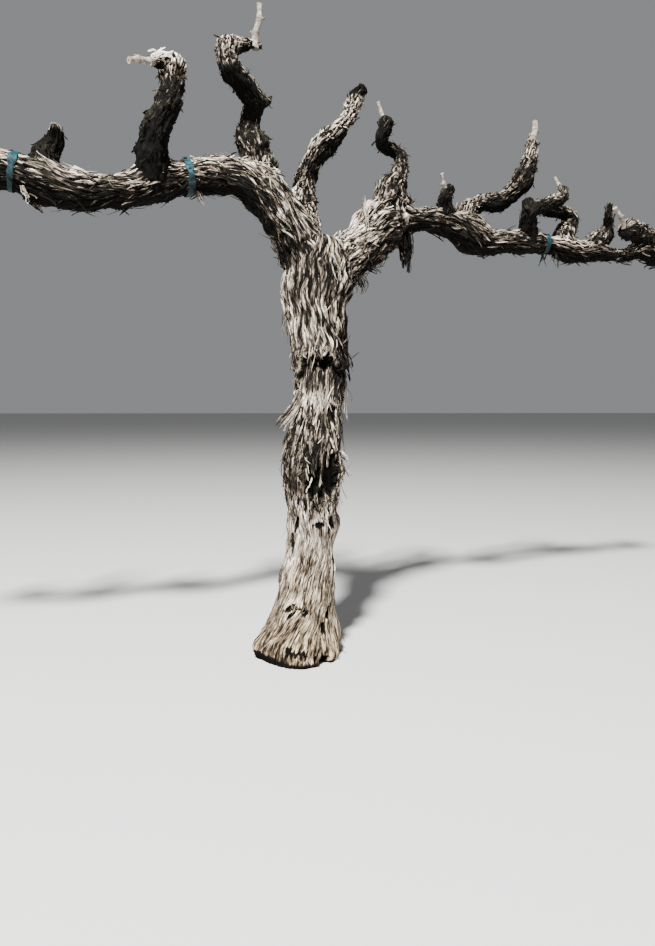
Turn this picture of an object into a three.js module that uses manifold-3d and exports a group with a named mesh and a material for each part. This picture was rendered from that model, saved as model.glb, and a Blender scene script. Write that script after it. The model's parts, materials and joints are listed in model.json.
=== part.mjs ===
// An old grapevine, pruned back to spurs and bare of leaves: a thick trunk with a flared foot forks
// into two arms that lie level along the row, and gnarled spurs stand up from the arms. Millimetres,
// +Z up, +X along the row. The origin is on the flat cut under the trunk, at ground level.
import * as THREE from 'three';
import { mergeVertices } from 'three/addons/utils/BufferGeometryUtils.js';
import Module from 'manifold-3d';

const wasm = await Module();
wasm.setup();

// Driving dimensions of the whole plant
const GAP = 0.35; // clearance between a limb and whatever it grows from
const TRUNK_SIDES = 36;
const ARM_SIDES = 12;
const SPUR_SIDES = 8;
const SHRED_SIDES = 5;
const TRUNK_STEP = 12; // distance between rings along the trunk
const RING_STEP = 22; // the same along the arms
const SPUR_STEP = 17; // the same along a spur
const ARM_GNARL = 0.05; // how far the swellings depart from a round limb, as a part of its radius
const SPUR_GNARL = 0.09;
const REACH = 2000; // half the size of a cutting block, larger than the plant
const FOLD_MARGIN = 1.15; // room that a ring needs beyond the last one in a bend, so that none fold
const NOSE = [[0.45, 0.82], [0.75, 0.45]]; // rings of a round end: how far on, and how wide, in radii
const TIP_BULGE = 0.1; // how far an end's middle stands out, in radii

// Slow swellings of every limb: the share of each wave, its turn per millimetre, and its phase
const SWELLS = [
  { share: 0.5, turn: [1 / 31, 0, 1 / 47], phase: 0 },
  { share: 0.3, turn: [0, 1 / 23, -1 / 29], phase: 2 },
  { share: 0.2, turn: [1 / 17, 1 / 17, 1 / 19], phase: 4 },
];

// Root flare: how far the toes stand out at the ground, how soon they fade, and where they point
const TOE_DEPTH = 0.13;
const TOE_FADE = 110;
const TOE_ANGLES = [180, 240, 318, 30, 100];
const TOE_SHARPNESS = 3;
const FLUTES = [{ count: 3, depth: 0.045, pitch: 260 }, { count: 5, depth: 0.03, pitch: -190 }];

// Old bark ends in a wavy skirt over a narrower waist: its mean height, how far it stands out, and
// how soon the skirt and the waist fade back to the trunk's own width
const SKIRT_HEIGHT = 636;
const SKIRT_OUT = 6;
const SKIRT_FADE = 75;
const SKIRT_WAVES = [{ count: 3, rise: 8, phase: 1 }, { count: 7, rise: 5, phase: 0 }];
const WAIST_IN = 5;
const WAIST_FADE = 42;

// Rotted hollows and deep recesses between the bark's main ribs: where each faces, its middle height,
// half its width and height, and its depth
const HOLLOWS = [
  { angle: 290, height: 402, halfAngle: 34, halfHeight: 60, depth: 16 },
  { angle: 290, height: 4, halfAngle: 16, halfHeight: 34, depth: 28 },
  { angle: 60, height: 250, halfAngle: 15, halfHeight: 60, depth: 10 },
  { angle: 246, height: 638, halfAngle: 42, halfHeight: 19, depth: 10 },
  { angle: 230, height: 427, halfAngle: 16, halfHeight: 22, depth: 7 },
  { angle: 248, height: 384, halfAngle: 15, halfHeight: 30, depth: 9 },
  { angle: 190, height: 497, halfAngle: 13, halfHeight: 52, depth: 7 },
  { angle: 288, height: 530, halfAngle: 16, halfHeight: 26, depth: 7 },
  { angle: 206, height: 306, halfAngle: 13, halfHeight: 24, depth: 6 },
  { angle: 301, height: 296, halfAngle: 16, halfHeight: 18, depth: 6 },
];
const HOLLOW_FLOOR = 0.5; // how much of a hollow's width is at its full depth

// Knuckles all over the trunk: the share of each wave, its turn per millimetre, and its phase
const KNUCKLE_HEIGHT = 4.5;
const KNUCKLES = [
  { share: 0.4, turn: [1 / 15, 1 / 31, 1 / 17], phase: 1 },
  { share: 0.35, turn: [-1 / 29, 1 / 14, 1 / 21], phase: 3 },
  { share: 0.25, turn: [1 / 19, -1 / 17, 1 / 12], phase: 5 },
];

// Teal bands that once tied the arms: wall thickness and width along the arm
const TIE_WALL = 1.8;
const TIE_WIDTH = 18;

// Cut canes: how they swell at each node and sway between nodes
const CANE_SIDES = 6;
const INTERNODE = 26;
const NODE_SWELL = 1.35;
const CANE_SWAY = 0.35;
const CANE_TAPER = 0.25;
const BUD_SIZE = 0.75;

// Middle lines. Each knee is x, y, z and the limb's radius there.
const TRUNK = [
  [-39, 12, -60, 100], [-30, 9, 0, 89], [-24, 8, 45, 80], [-18, 8, 82, 71], [-15, 4, 118, 63],
  [-10, 0, 168, 57], [-5, -4, 225, 52], [-1, -8, 290, 53], [-3, -10, 345, 54], [-2, -14, 405, 61],
  [-2, -14, 452, 59], [4, -15, 500, 53], [11, -13, 552, 51], [15, -11, 600, 54], [17, -7, 640, 54],
  [15, -6, 690, 56], [12, -5, 757, 58], [12, -5, 810, 60], [13, -5, 850, 59], [14, -6, 872, 48],
];

const ARM_LEFT = [
  [6, 0, 800, 55], [-16, -5, 858, 49], [-46, -12, 908, 42], [-80, -14, 953, 40], [-113, -12, 985, 41],
  [-150, -6, 1005, 38], [-195, 2, 1010, 34], [-255, 10, 1004, 31], [-325, 10, 983, 30], [-380, 0, 960, 31],
  [-430, -10, 950, 30],
  [-475, -15, 946, 36], [-515, -10, 954, 36], [-550, 0, 966, 29], [-600, 5, 973, 30], [-665, 5, 968, 27],
  [-730, -5, 958, 29], [-790, -10, 962, 25], [-850, 0, 972, 24], [-900, 5, 978, 22],
];

const ARM_RIGHT = [
  [29, 0, 815, 53], [86, 10, 865, 51], [135, 15, 913, 48], [178, 15, 957, 45], [212, 10, 972, 35],
  [245, 5, 970, 26], [290, 0, 974, 27], [340, -5, 967, 27], [378, -10, 955, 31], [420, -10, 937, 28],
  [465, -5, 938, 26], [510, 0, 944, 24], [570, 5, 949, 21], [620, 10, 949, 21], [665, 10, 944, 22],
  [712, 10, 938, 24], [755, 5, 940, 19], [800, 0, 940, 14], [850, 0, 936, 13], [890, 0, 949, 15],
  [930, 0, 960, 23], [970, 0, 965, 31], [1010, 2, 966, 29],
];

// Where the arms are divided at their bends, as places along the row
const LEFT_CUTS = [-165, -430, -665];
const RIGHT_CUTS = [252, 460, 735];
const ARM_PIECES = ['inner', 'middle', 'outer', 'tip'];

// Spurs: the middle line of each, and of the side heads that are one with it
const SPURS = {
  spur_centre: [
    [[-12, 5, 905, 34], [-13, 18, 980, 28], [-8, 20, 1028, 23], [2, 8, 1062, 18], [22, -4, 1093, 25],
      [42, -15, 1114, 20], [62, -20, 1138, 13], [88, -11, 1176, 14], [100, -4, 1204, 17], [118, 5, 1228, 12]],
  ],
  spur_left_1: [
    [[-112, 0, 1000, 32], [-120, 15, 1062, 31], [-126, 30, 1104, 26], [-126, 30, 1135, 23],
      [-122, 12, 1162, 19], [-146, -10, 1186, 20], [-176, -20, 1208, 19], [-182, -10, 1235, 17],
      [-172, 8, 1268, 18]],
    [[-178, 4, 1262, 14], [-150, 15, 1276, 13], [-126, 22, 1286, 10], [-102, 30, 1290, 6]],
  ],
  spur_left_2: [
    [[-330, 0, 985, 33], [-333, -20, 1040, 32], [-328, -30, 1072, 28], [-308, -25, 1112, 24],
      [-291, -5, 1158, 23], [-286, 5, 1206, 23]],
    [[-284, 2, 1210, 19], [-306, -10, 1210, 16], [-322, -20, 1202, 11]],
  ],
  spur_left_3: [
    [[-530, 0, 965, 32], [-530, 10, 1000, 28], [-518, 20, 1022, 21], [-505, 14, 1042, 17],
      [-505, 0, 1060, 9]],
  ],
  spur_left_4: [
    [[-728, 0, 958, 30], [-738, -12, 1002, 28], [-762, -20, 1040, 23], [-770, -8, 1078, 20],
      [-752, 10, 1112, 19], [-722, 18, 1136, 16], [-712, 10, 1162, 12]],
  ],
  spur_left_5: [
    [[-888, 5, 978, 24], [-926, 8, 996, 26], [-944, 10, 1030, 23], [-932, 4, 1066, 19],
      [-908, -8, 1088, 16], [-898, -14, 1118, 13]],
  ],
  spur_right_1: [
    [[188, 8, 965, 40], [184, -2, 1006, 37], [188, -4, 1030, 27], [207, 2, 1054, 19], [218, 15, 1082, 15],
      [222, 26, 1110, 14], [199, 25, 1122, 13], [172, 10, 1123, 12], [167, -2, 1140, 12],
      [178, -2, 1167, 14]],
  ],
  spur_right_2: [
    [[328, -4, 965, 24], [320, -15, 996, 19], [312, -30, 1020, 15], [322, -30, 1036, 9]],
  ],
  spur_right_3: [
    [[380, -5, 950, 31], [390, 12, 985, 28], [416, 30, 1018, 22], [458, 35, 1035, 20],
      [500, 30, 1045, 21], [528, 16, 1067, 22], [542, 0, 1096, 20], [553, -10, 1140, 16],
      [561, -5, 1174, 13]],
  ],
  spur_right_4: [
    [[560, 2, 948, 26], [550, -15, 972, 23], [537, -32, 1006, 17], [535, -30, 1030, 12]],
    [[538, -34, 1004, 12], [566, -35, 1020, 13], [600, -24, 1036, 15], [636, -8, 1050, 14],
      [660, 0, 1066, 13], [664, 0, 1082, 10]],
  ],
  spur_right_5: [
    [[682, 10, 942, 26], [686, 20, 972, 27], [708, 34, 1004, 23], [716, 38, 1024, 20],
      [696, 35, 1036, 16], [662, 30, 1034, 12], [636, 26, 1032, 11], [620, 30, 1040, 8]],
  ],
  spur_right_6: [
    [[748, 2, 945, 20], [778, 12, 966, 23], [806, 10, 990, 21], [810, 2, 1010, 14],
      [802, -6, 1030, 11], [800, -12, 1056, 7]],
  ],
  spur_right_7: [
    [[968, 0, 965, 29], [930, -6, 984, 28], [892, -16, 994, 25], [848, -30, 994, 25]],
  ],
};

// Loose bark that hangs clear of a limb, one with that limb
const BARK_SHREDS = {
  trunk: [[-33, -23, 596, 14], [-52, -20, 548, 10], [-79, -8, 507, 4]],
  cordon_left_outer: [[-556, 0, 960, 12], [-552, -4, 929, 7], [-532, -6, 908, 3]],
  cordon_right_inner: [[222, 6, 958, 15], [231, 2, 911, 12], [230, 0, 852, 5]],
};

// Last year's wood, cut short: where each cane starts and ends, and its radius
const CANES = [
  { name: 'cane_left_1', from: [-116, 24, 1280], to: [-103, 15, 1366], radius: 7, seed: 1 },
  { name: 'cane_left_2', from: [-316, -18, 1202], to: [-377, -44, 1184], radius: 7, seed: 2 },
  { name: 'cane_left_4', from: [-714, 12, 1154], to: [-700, 2, 1226], radius: 6, seed: 4 },
  { name: 'cane_left_5', from: [-900, -12, 1110], to: [-922, -24, 1176], radius: 6, seed: 5 },
  { name: 'cane_right_1', from: [174, -2, 1164], to: [161, 10, 1212], radius: 5, seed: 6 },
  { name: 'cane_right_2', from: [315, -31, 1024], to: [292, -42, 1062], radius: 5, seed: 7 },
  { name: 'cane_right_3', from: [562, -5, 1168], to: [580, 5, 1230], radius: 8, seed: 8 },
  { name: 'cane_right_4', from: [663, 0, 1072], to: [640, 5, 1110], radius: 5, seed: 9 },
  { name: 'cane_right_7', from: [832, -33, 1000], to: [787, -46, 1040], radius: 6, seed: 10 },
];

const TIES = [
  { name: 'tie_left_inner', arm: 'left', at: -262 },
  { name: 'tie_left_outer', arm: 'left', at: -578 },
  { name: 'tie_right', arm: 'right', at: 613 },
];

const barkMaterial = new THREE.MeshStandardMaterial({ color: 0x8f8375, roughness: 0.95, metalness: 0 });
const caneMaterial = new THREE.MeshStandardMaterial({ color: 0xa39a8d, roughness: 0.85, metalness: 0 });
const tieMaterial = new THREE.MeshStandardMaterial({ color: 0x1d8a96, roughness: 0.55, metalness: 0 });

// A closed three.js geometry as a solid: only its positions count, with shared vertices merged.
function toSolid(geometry) {
  const bare = new THREE.BufferGeometry();
  bare.setAttribute('position', geometry.getAttribute('position'));
  if (geometry.index) bare.setIndex(geometry.index);
  const merged = mergeVertices(bare, 1e-4);
  return new wasm.Manifold(new wasm.Mesh({
    numProp: 3,
    vertProperties: new Float32Array(merged.attributes.position.array),
    triVerts: new Uint32Array(merged.index.array),
  }));
}

function toGeometry(solid) {
  const mesh = solid.getMesh();
  const geometry = new THREE.BufferGeometry();
  geometry.setAttribute('position', new THREE.BufferAttribute(mesh.vertProperties.slice(), 3));
  geometry.setIndex(new THREE.BufferAttribute(mesh.triVerts.slice(), 1));
  geometry.computeVertexNormals();
  return geometry;
}

// The largest of the bodies that a cut leaves, so that no loose scrap stays with a limb.
function largestBody(solid) {
  const bodies = solid.decompose();
  return bodies.reduce((best, body) => (body.volume() > best.volume() ? body : best));
}

function boxesMeet(a, b) {
  const one = a.boundingBox();
  const two = b.boundingBox();
  return [0, 1, 2].every((axis) => one.min[axis] < two.max[axis] && two.min[axis] < one.max[axis]);
}

// The swellings follow the place in space, so that neighbouring limbs never look alike.
function waves(point, rows) {
  let sum = 0;
  for (const { share, turn, phase } of rows) {
    sum += share * Math.sin(point.dot(new THREE.Vector3(...turn)) + phase);
  }
  return sum;
}

// Toes at the foot and twisting flutes higher up, as a factor on the trunk's radius.
function toesAndFlutes(angle, height) {
  let factor = 1;
  for (const toe of TOE_ANGLES) {
    const facing = Math.max(0, Math.cos(angle - THREE.MathUtils.degToRad(toe)));
    factor += TOE_DEPTH * facing ** TOE_SHARPNESS * Math.exp(-Math.max(0, height) / TOE_FADE);
  }
  for (const flute of FLUTES) {
    factor += flute.depth * Math.sin(flute.count * angle + (height / flute.pitch) * 2 * Math.PI);
  }
  return factor;
}

// The skirt and the waist under it, in millimetres added to the trunk's radius.
function skirtAndWaist(angle, height) {
  let edge = SKIRT_HEIGHT;
  for (const { count, rise, phase } of SKIRT_WAVES) edge += rise * Math.sin(count * angle + phase);
  const above = height - edge;
  return above > 0 ? SKIRT_OUT * Math.exp(-above / SKIRT_FADE) : -WAIST_IN * Math.exp(above / WAIST_FADE);
}

// How deep the hollows are at one place: full depth in the middle, none past the rim.
function hollowDepth(angle, height) {
  let depth = 0;
  for (const hollow of HOLLOWS) {
    const turn = THREE.MathUtils.euclideanModulo(THREE.MathUtils.radToDeg(angle) - hollow.angle + 180, 360) - 180;
    const away = Math.hypot(turn / hollow.halfAngle, (height - hollow.height) / hollow.halfHeight);
    depth += hollow.depth * (1 - THREE.MathUtils.smoothstep(away, HOLLOW_FLOOR, 1));
  }
  return depth;
}

// The trunk's outline round one ring, as a factor on its radius.
function trunkProfile(angle, { centre, radius }) {
  const skin = new THREE.Vector3(Math.cos(angle), Math.sin(angle), 0).multiplyScalar(radius).add(centre);
  const knuckle = KNUCKLE_HEIGHT * waves(skin, KNUCKLES);
  const lift = knuckle + skirtAndWaist(angle, centre.z) - hollowDepth(angle, centre.z);
  return toesAndFlutes(angle, centre.z) + lift / radius;
}

// Rings along a smooth line through the knees. A ring that would fold back over the last is left out.
function ringsAlong(knees, step) {
  const line = new THREE.CatmullRomCurve3(knees.map(([x, y, z]) => new THREE.Vector3(x, y, z)));
  line.curveType = 'catmullrom';
  const radii = new THREE.SplineCurve(knees.map(([, , , radius], i) => new THREE.Vector2(i, radius)));
  const count = Math.max(3, Math.round(line.getLength() / step));
  const rings = [];
  for (let i = 0; i <= count; i += 1) {
    const t = line.getUtoTmapping(i / count);
    const ring = { centre: line.getPoint(t), along: line.getTangent(t), radius: radii.getPoint(t).y };
    const last = rings.at(-1);
    const turn = last ? last.along.angleTo(ring.along) : 0;
    const room = last ? last.centre.distanceTo(ring.centre) : Infinity;
    const width = Math.max(ring.radius, last?.radius ?? 0);
    if (room > FOLD_MARGIN * Math.sin(turn) * width) rings.push(ring);
  }
  return rings;
}

// A round nose: shrinking rings past the last one.
function withNose(rings) {
  const last = rings.at(-1);
  const nose = NOSE.map(([forward, shrink]) => ({
    centre: last.centre.clone().addScaledVector(last.along, forward * last.radius),
    along: last.along,
    radius: shrink * last.radius,
  }));
  return [...rings, ...nose];
}

// A closed tube through rings. profile(angle, ring) scales the radius round each ring.
function tubeSolid(rings, sides, grow, profile) {
  const side = new THREE.Vector3(1, 0, 0);
  const across = new THREE.Vector3();
  const positions = [];
  const faces = [];
  for (const ring of rings) {
    side.addScaledVector(ring.along, -side.dot(ring.along)).normalize();
    across.crossVectors(ring.along, side);
    for (let k = 0; k < sides; k += 1) {
      const angle = (2 * Math.PI * k) / sides;
      const radius = ring.radius * profile(angle, ring) + grow;
      const corner = ring.centre.clone();
      corner.addScaledVector(side, radius * Math.cos(angle));
      corner.addScaledVector(across, radius * Math.sin(angle));
      positions.push(...corner.toArray());
    }
  }
  const foot = positions.length / 3;
  const tip = foot + 1;
  const first = rings[0];
  const last = rings.at(-1);
  positions.push(...first.centre.clone().addScaledVector(first.along, -grow).toArray());
  const bulge = TIP_BULGE * last.radius + grow;
  positions.push(...last.centre.clone().addScaledVector(last.along, bulge).toArray());
  for (let k = 0; k < sides; k += 1) {
    const next = (k + 1) % sides;
    faces.push(foot, next, k);
    for (let i = 0; i + 1 < rings.length; i += 1) {
      const low = i * sides;
      const high = low + sides;
      faces.push(low + k, low + next, high + next, low + k, high + next, high + k);
    }
    const end = (rings.length - 1) * sides;
    faces.push(end + k, end + next, tip);
  }
  const geometry = new THREE.BufferGeometry();
  geometry.setAttribute('position', new THREE.Float32BufferAttribute(positions, 3));
  geometry.setIndex(faces);
  return toSolid(geometry);
}

function limbSolid(knees, sides, step, depth, grow) {
  const lumps = (angle, ring) => 1 + depth * waves(ring.centre, SWELLS);
  return tubeSolid(withNose(ringsAlong(knees, step)), sides, grow, lumps);
}

// A block that covers everything between two places along the row.
function slab(from, to) {
  const block = new THREE.BoxGeometry(to - from, 2 * REACH, 2 * REACH);
  block.translate((from + to) / 2, 0, 0);
  return toSolid(block);
}

function makeTrunk(grow) {
  const stem = tubeSolid(ringsAlong(TRUNK, TRUNK_STEP), TRUNK_SIDES, grow, trunkProfile);
  const aboveGround = new THREE.BoxGeometry(2 * REACH, 2 * REACH, 2 * REACH);
  aboveGround.translate(0, 0, REACH);
  const flap = limbSolid(BARK_SHREDS.trunk, SHRED_SIDES, RING_STEP, 0, grow);
  return stem.add(flap).intersect(toSolid(aboveGround));
}

function makeArm(knees, grow) {
  return limbSolid(knees, ARM_SIDES, RING_STEP, ARM_GNARL, grow);
}

function makeSpur(lines, grow) {
  const heads = lines.map((knees) => limbSolid(knees, SPUR_SIDES, SPUR_STEP, SPUR_GNARL, grow));
  return heads.reduce((whole, head) => whole.add(head));
}

// The seeded rule of the canes: straight lengths between swollen nodes, each node a little to one
// side of the last, with a bud that sits alternately left and right, and a plain cut at the end.
function makeCane({ from, to, radius, seed }) {
  const start = new THREE.Vector3(...from);
  const course = new THREE.Vector3(...to).sub(start);
  const nodes = Math.max(2, Math.round(course.length() / INTERNODE));
  const forward = course.clone().normalize();
  const aside = new THREE.Vector3(0, 1, 0).applyAxisAngle(forward, seed);
  aside.addScaledVector(forward, -aside.dot(forward)).normalize();
  const rings = [];
  const buds = [];
  for (let n = 0; n <= nodes; n += 1) {
    const way = n % 2 ? 1 : -1;
    const centre = start.clone().addScaledVector(course, n / nodes);
    centre.addScaledVector(aside, way * CANE_SWAY * radius);
    const taper = 1 - (CANE_TAPER * n) / nodes;
    const ring = { centre, along: forward, radius: radius * taper * NODE_SWELL };
    if (n > 0) rings.push(ringBetween(rings.at(-1), ring, radius * taper));
    rings.push(ring);
    if (n > 0 && n < nodes) buds.push(budAt(centre, aside, way, radius * taper));
  }
  const stem = tubeSolid(rings, CANE_SIDES, 0, () => 1);
  return buds.reduce((whole, bud) => whole.add(bud), stem);
}

function ringBetween(one, two, radius) {
  return { centre: one.centre.clone().lerp(two.centre, 0.5), along: one.along, radius };
}

function budAt(centre, aside, way, radius) {
  const bud = new THREE.OctahedronGeometry(BUD_SIZE * radius, 0);
  bud.translate(...centre.clone().addScaledVector(aside, way * radius * NODE_SWELL).toArray());
  return toSolid(bud);
}

const vine = new THREE.Group();
const grownLimbs = []; // every limb so far, grown by the gap, to cut the next ones clear of it

function addMesh(name, solid, material) {
  const mesh = new THREE.Mesh(toGeometry(largestBody(solid)), material);
  mesh.name = name;
  vine.add(mesh);
}

function addPiece(name, solid, material) {
  let piece = solid;
  for (const grown of grownLimbs) {
    if (boxesMeet(piece, grown)) piece = piece.subtract(grown);
  }
  addMesh(name, piece, material);
}

function addArm(side, knees, cuts) {
  const edges = [0, ...cuts.map(Math.abs), REACH];
  ARM_PIECES.forEach((part, i) => {
    const low = i === 0 ? -REACH : edges[i] + GAP / 2;
    const high = edges[i + 1] - (i === cuts.length ? 0 : GAP / 2);
    const block = side === 'right' ? slab(low, high) : slab(-high, -low);
    const name = `cordon_${side}_${part}`;
    let piece = makeArm(knees, 0).intersect(block);
    const shred = BARK_SHREDS[name];
    if (shred) piece = piece.add(limbSolid(shred, SHRED_SIDES, RING_STEP, 0, 0));
    addPiece(name, piece, barkMaterial);
  });
  grownLimbs.push(makeArm(knees, GAP));
}

function addTie({ name, arm, at }) {
  const knees = arm === 'left' ? ARM_LEFT : ARM_RIGHT;
  const band = makeArm(knees, GAP + TIE_WALL).subtract(makeArm(knees, GAP));
  const width = slab(at - TIE_WIDTH / 2, at + TIE_WIDTH / 2);
  addMesh(name, band.intersect(width), tieMaterial);
}

addPiece('trunk', makeTrunk(0), barkMaterial);
grownLimbs.push(makeTrunk(GAP));
addArm('left', ARM_LEFT, LEFT_CUTS);
addArm('right', ARM_RIGHT, RIGHT_CUTS);
for (const [name, lines] of Object.entries(SPURS)) {
  addPiece(name, makeSpur(lines, 0), barkMaterial);
  grownLimbs.push(makeSpur(lines, GAP));
}
for (const cane of CANES) addPiece(cane.name, makeCane(cane), caneMaterial);
for (const tie of TIES) addTie(tie);

export default vine;
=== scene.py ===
# %% [markdown]
# # An old grapevine, pruned back to its spurs
#
# The plant is a thick, shaggy trunk that forks into two arms. The arms lie level along the row,
# and gnarled spurs stand up from them, each ending in last year's wood, cut short.
#
# The imported model gives the plant's place and size. This lesson gives it bark. First it loads the
# imported model.

# %% Load the imported model
import json
import math
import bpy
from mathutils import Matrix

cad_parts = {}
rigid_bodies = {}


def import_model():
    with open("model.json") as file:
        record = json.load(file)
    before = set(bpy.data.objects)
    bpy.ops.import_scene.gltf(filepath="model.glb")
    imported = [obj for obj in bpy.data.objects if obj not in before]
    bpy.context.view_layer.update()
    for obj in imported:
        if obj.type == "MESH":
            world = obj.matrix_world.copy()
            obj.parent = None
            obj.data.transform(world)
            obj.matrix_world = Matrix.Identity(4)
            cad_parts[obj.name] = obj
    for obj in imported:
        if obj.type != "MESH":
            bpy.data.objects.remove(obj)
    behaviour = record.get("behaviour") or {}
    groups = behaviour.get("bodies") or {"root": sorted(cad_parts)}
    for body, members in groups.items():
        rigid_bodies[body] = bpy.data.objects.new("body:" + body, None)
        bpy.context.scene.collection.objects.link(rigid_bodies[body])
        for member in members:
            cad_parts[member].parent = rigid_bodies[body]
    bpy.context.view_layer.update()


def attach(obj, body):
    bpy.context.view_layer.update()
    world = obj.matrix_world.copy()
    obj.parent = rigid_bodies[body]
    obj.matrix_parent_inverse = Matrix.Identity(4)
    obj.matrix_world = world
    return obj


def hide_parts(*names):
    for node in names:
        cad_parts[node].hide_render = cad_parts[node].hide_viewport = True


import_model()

from types import SimpleNamespace

import bpy
import numpy as np

MM = 0.001  # the plant's own dimensions are in millimetres, and the scene's are in metres


def table(fields, *rows):
    """A dictionary for each row, so that the names of its fields are written only once."""
    return [dict(zip(fields.split(), row)) for row in rows]


# %% [markdown]
# ## The camera
#
# A camera could be aimed by eye. Here its place was worked out from the picture's perspective, so
# the script states it: where it stands, which way it faces, and how far it tips down. The lens is
# measured against the longer side of the picture, which is the upright one.

# %% Place the camera
CAMERA_PLACE = (-0.567, -1.467, 0.538)
CAMERA_HEADING = math.radians(22.4)  # from +Y towards +X
CAMERA_TIP = math.radians(4.83)  # downwards
LENS = 27.5
SENSOR = 36

camera_data = bpy.data.cameras.new("camera")
camera_data.lens = LENS
camera_data.sensor_width = SENSOR
camera = bpy.data.objects.new("camera", camera_data)
camera.location = CAMERA_PLACE
camera.rotation_euler = (math.pi / 2 - CAMERA_TIP, 0, -CAMERA_HEADING)
bpy.context.collection.objects.link(camera)
bpy.context.scene.camera = camera
print("camera at", CAMERA_PLACE, "with a lens of", LENS, "mm")

# %% [markdown]
# ## The plant's middle lines
#
# Every limb is a bent, tapering tube, so it is told by a row of knees: x, y, z and the radius
# there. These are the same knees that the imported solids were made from, which keeps the bark on
# them without any fitting.

# %% Knees of the trunk and the arms
TRUNK = [
    [-39, 12, -60, 100], [-30, 9, 0, 89], [-24, 8, 45, 80], [-18, 8, 82, 71], [-15, 4, 118, 63],
    [-10, 0, 168, 57], [-5, -4, 225, 52], [-1, -8, 290, 53], [-3, -10, 345, 54], [-2, -14, 405, 61],
    [-2, -14, 452, 59], [4, -15, 500, 53], [11, -13, 552, 51], [15, -11, 600, 54], [17, -7, 640, 54],
    [15, -6, 690, 56], [12, -5, 757, 58], [12, -5, 810, 60], [13, -5, 850, 59], [14, -6, 872, 48],
]
ARM_LEFT = [
    [6, 0, 800, 55], [-16, -5, 858, 49], [-46, -12, 908, 42], [-80, -14, 953, 40],
    [-113, -12, 985, 41], [-150, -6, 1005, 38], [-195, 2, 1010, 34], [-255, 10, 1004, 31],
    [-325, 10, 983, 30], [-380, 0, 960, 31], [-430, -10, 950, 30], [-475, -15, 946, 36],
    [-515, -10, 954, 36], [-550, 0, 966, 29], [-600, 5, 973, 30], [-665, 5, 968, 27],
    [-730, -5, 958, 29], [-790, -10, 962, 25], [-850, 0, 972, 24], [-900, 5, 978, 22],
]
ARM_RIGHT = [
    [29, 0, 815, 53], [86, 10, 865, 51], [135, 15, 913, 48], [178, 15, 957, 45],
    [212, 10, 972, 35], [245, 5, 970, 26], [290, 0, 974, 27], [340, -5, 967, 27],
    [378, -10, 955, 31], [420, -10, 937, 28], [465, -5, 938, 26], [510, 0, 944, 24],
    [570, 5, 949, 21], [620, 10, 949, 21], [665, 10, 944, 22], [712, 10, 938, 24],
    [755, 5, 940, 19], [800, 0, 940, 14], [850, 0, 936, 13], [890, 0, 949, 15],
    [930, 0, 960, 23], [970, 0, 965, 31], [1010, 2, 966, 29],
]
ARM_PIECES = ["inner", "middle", "outer", "tip"]

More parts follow.
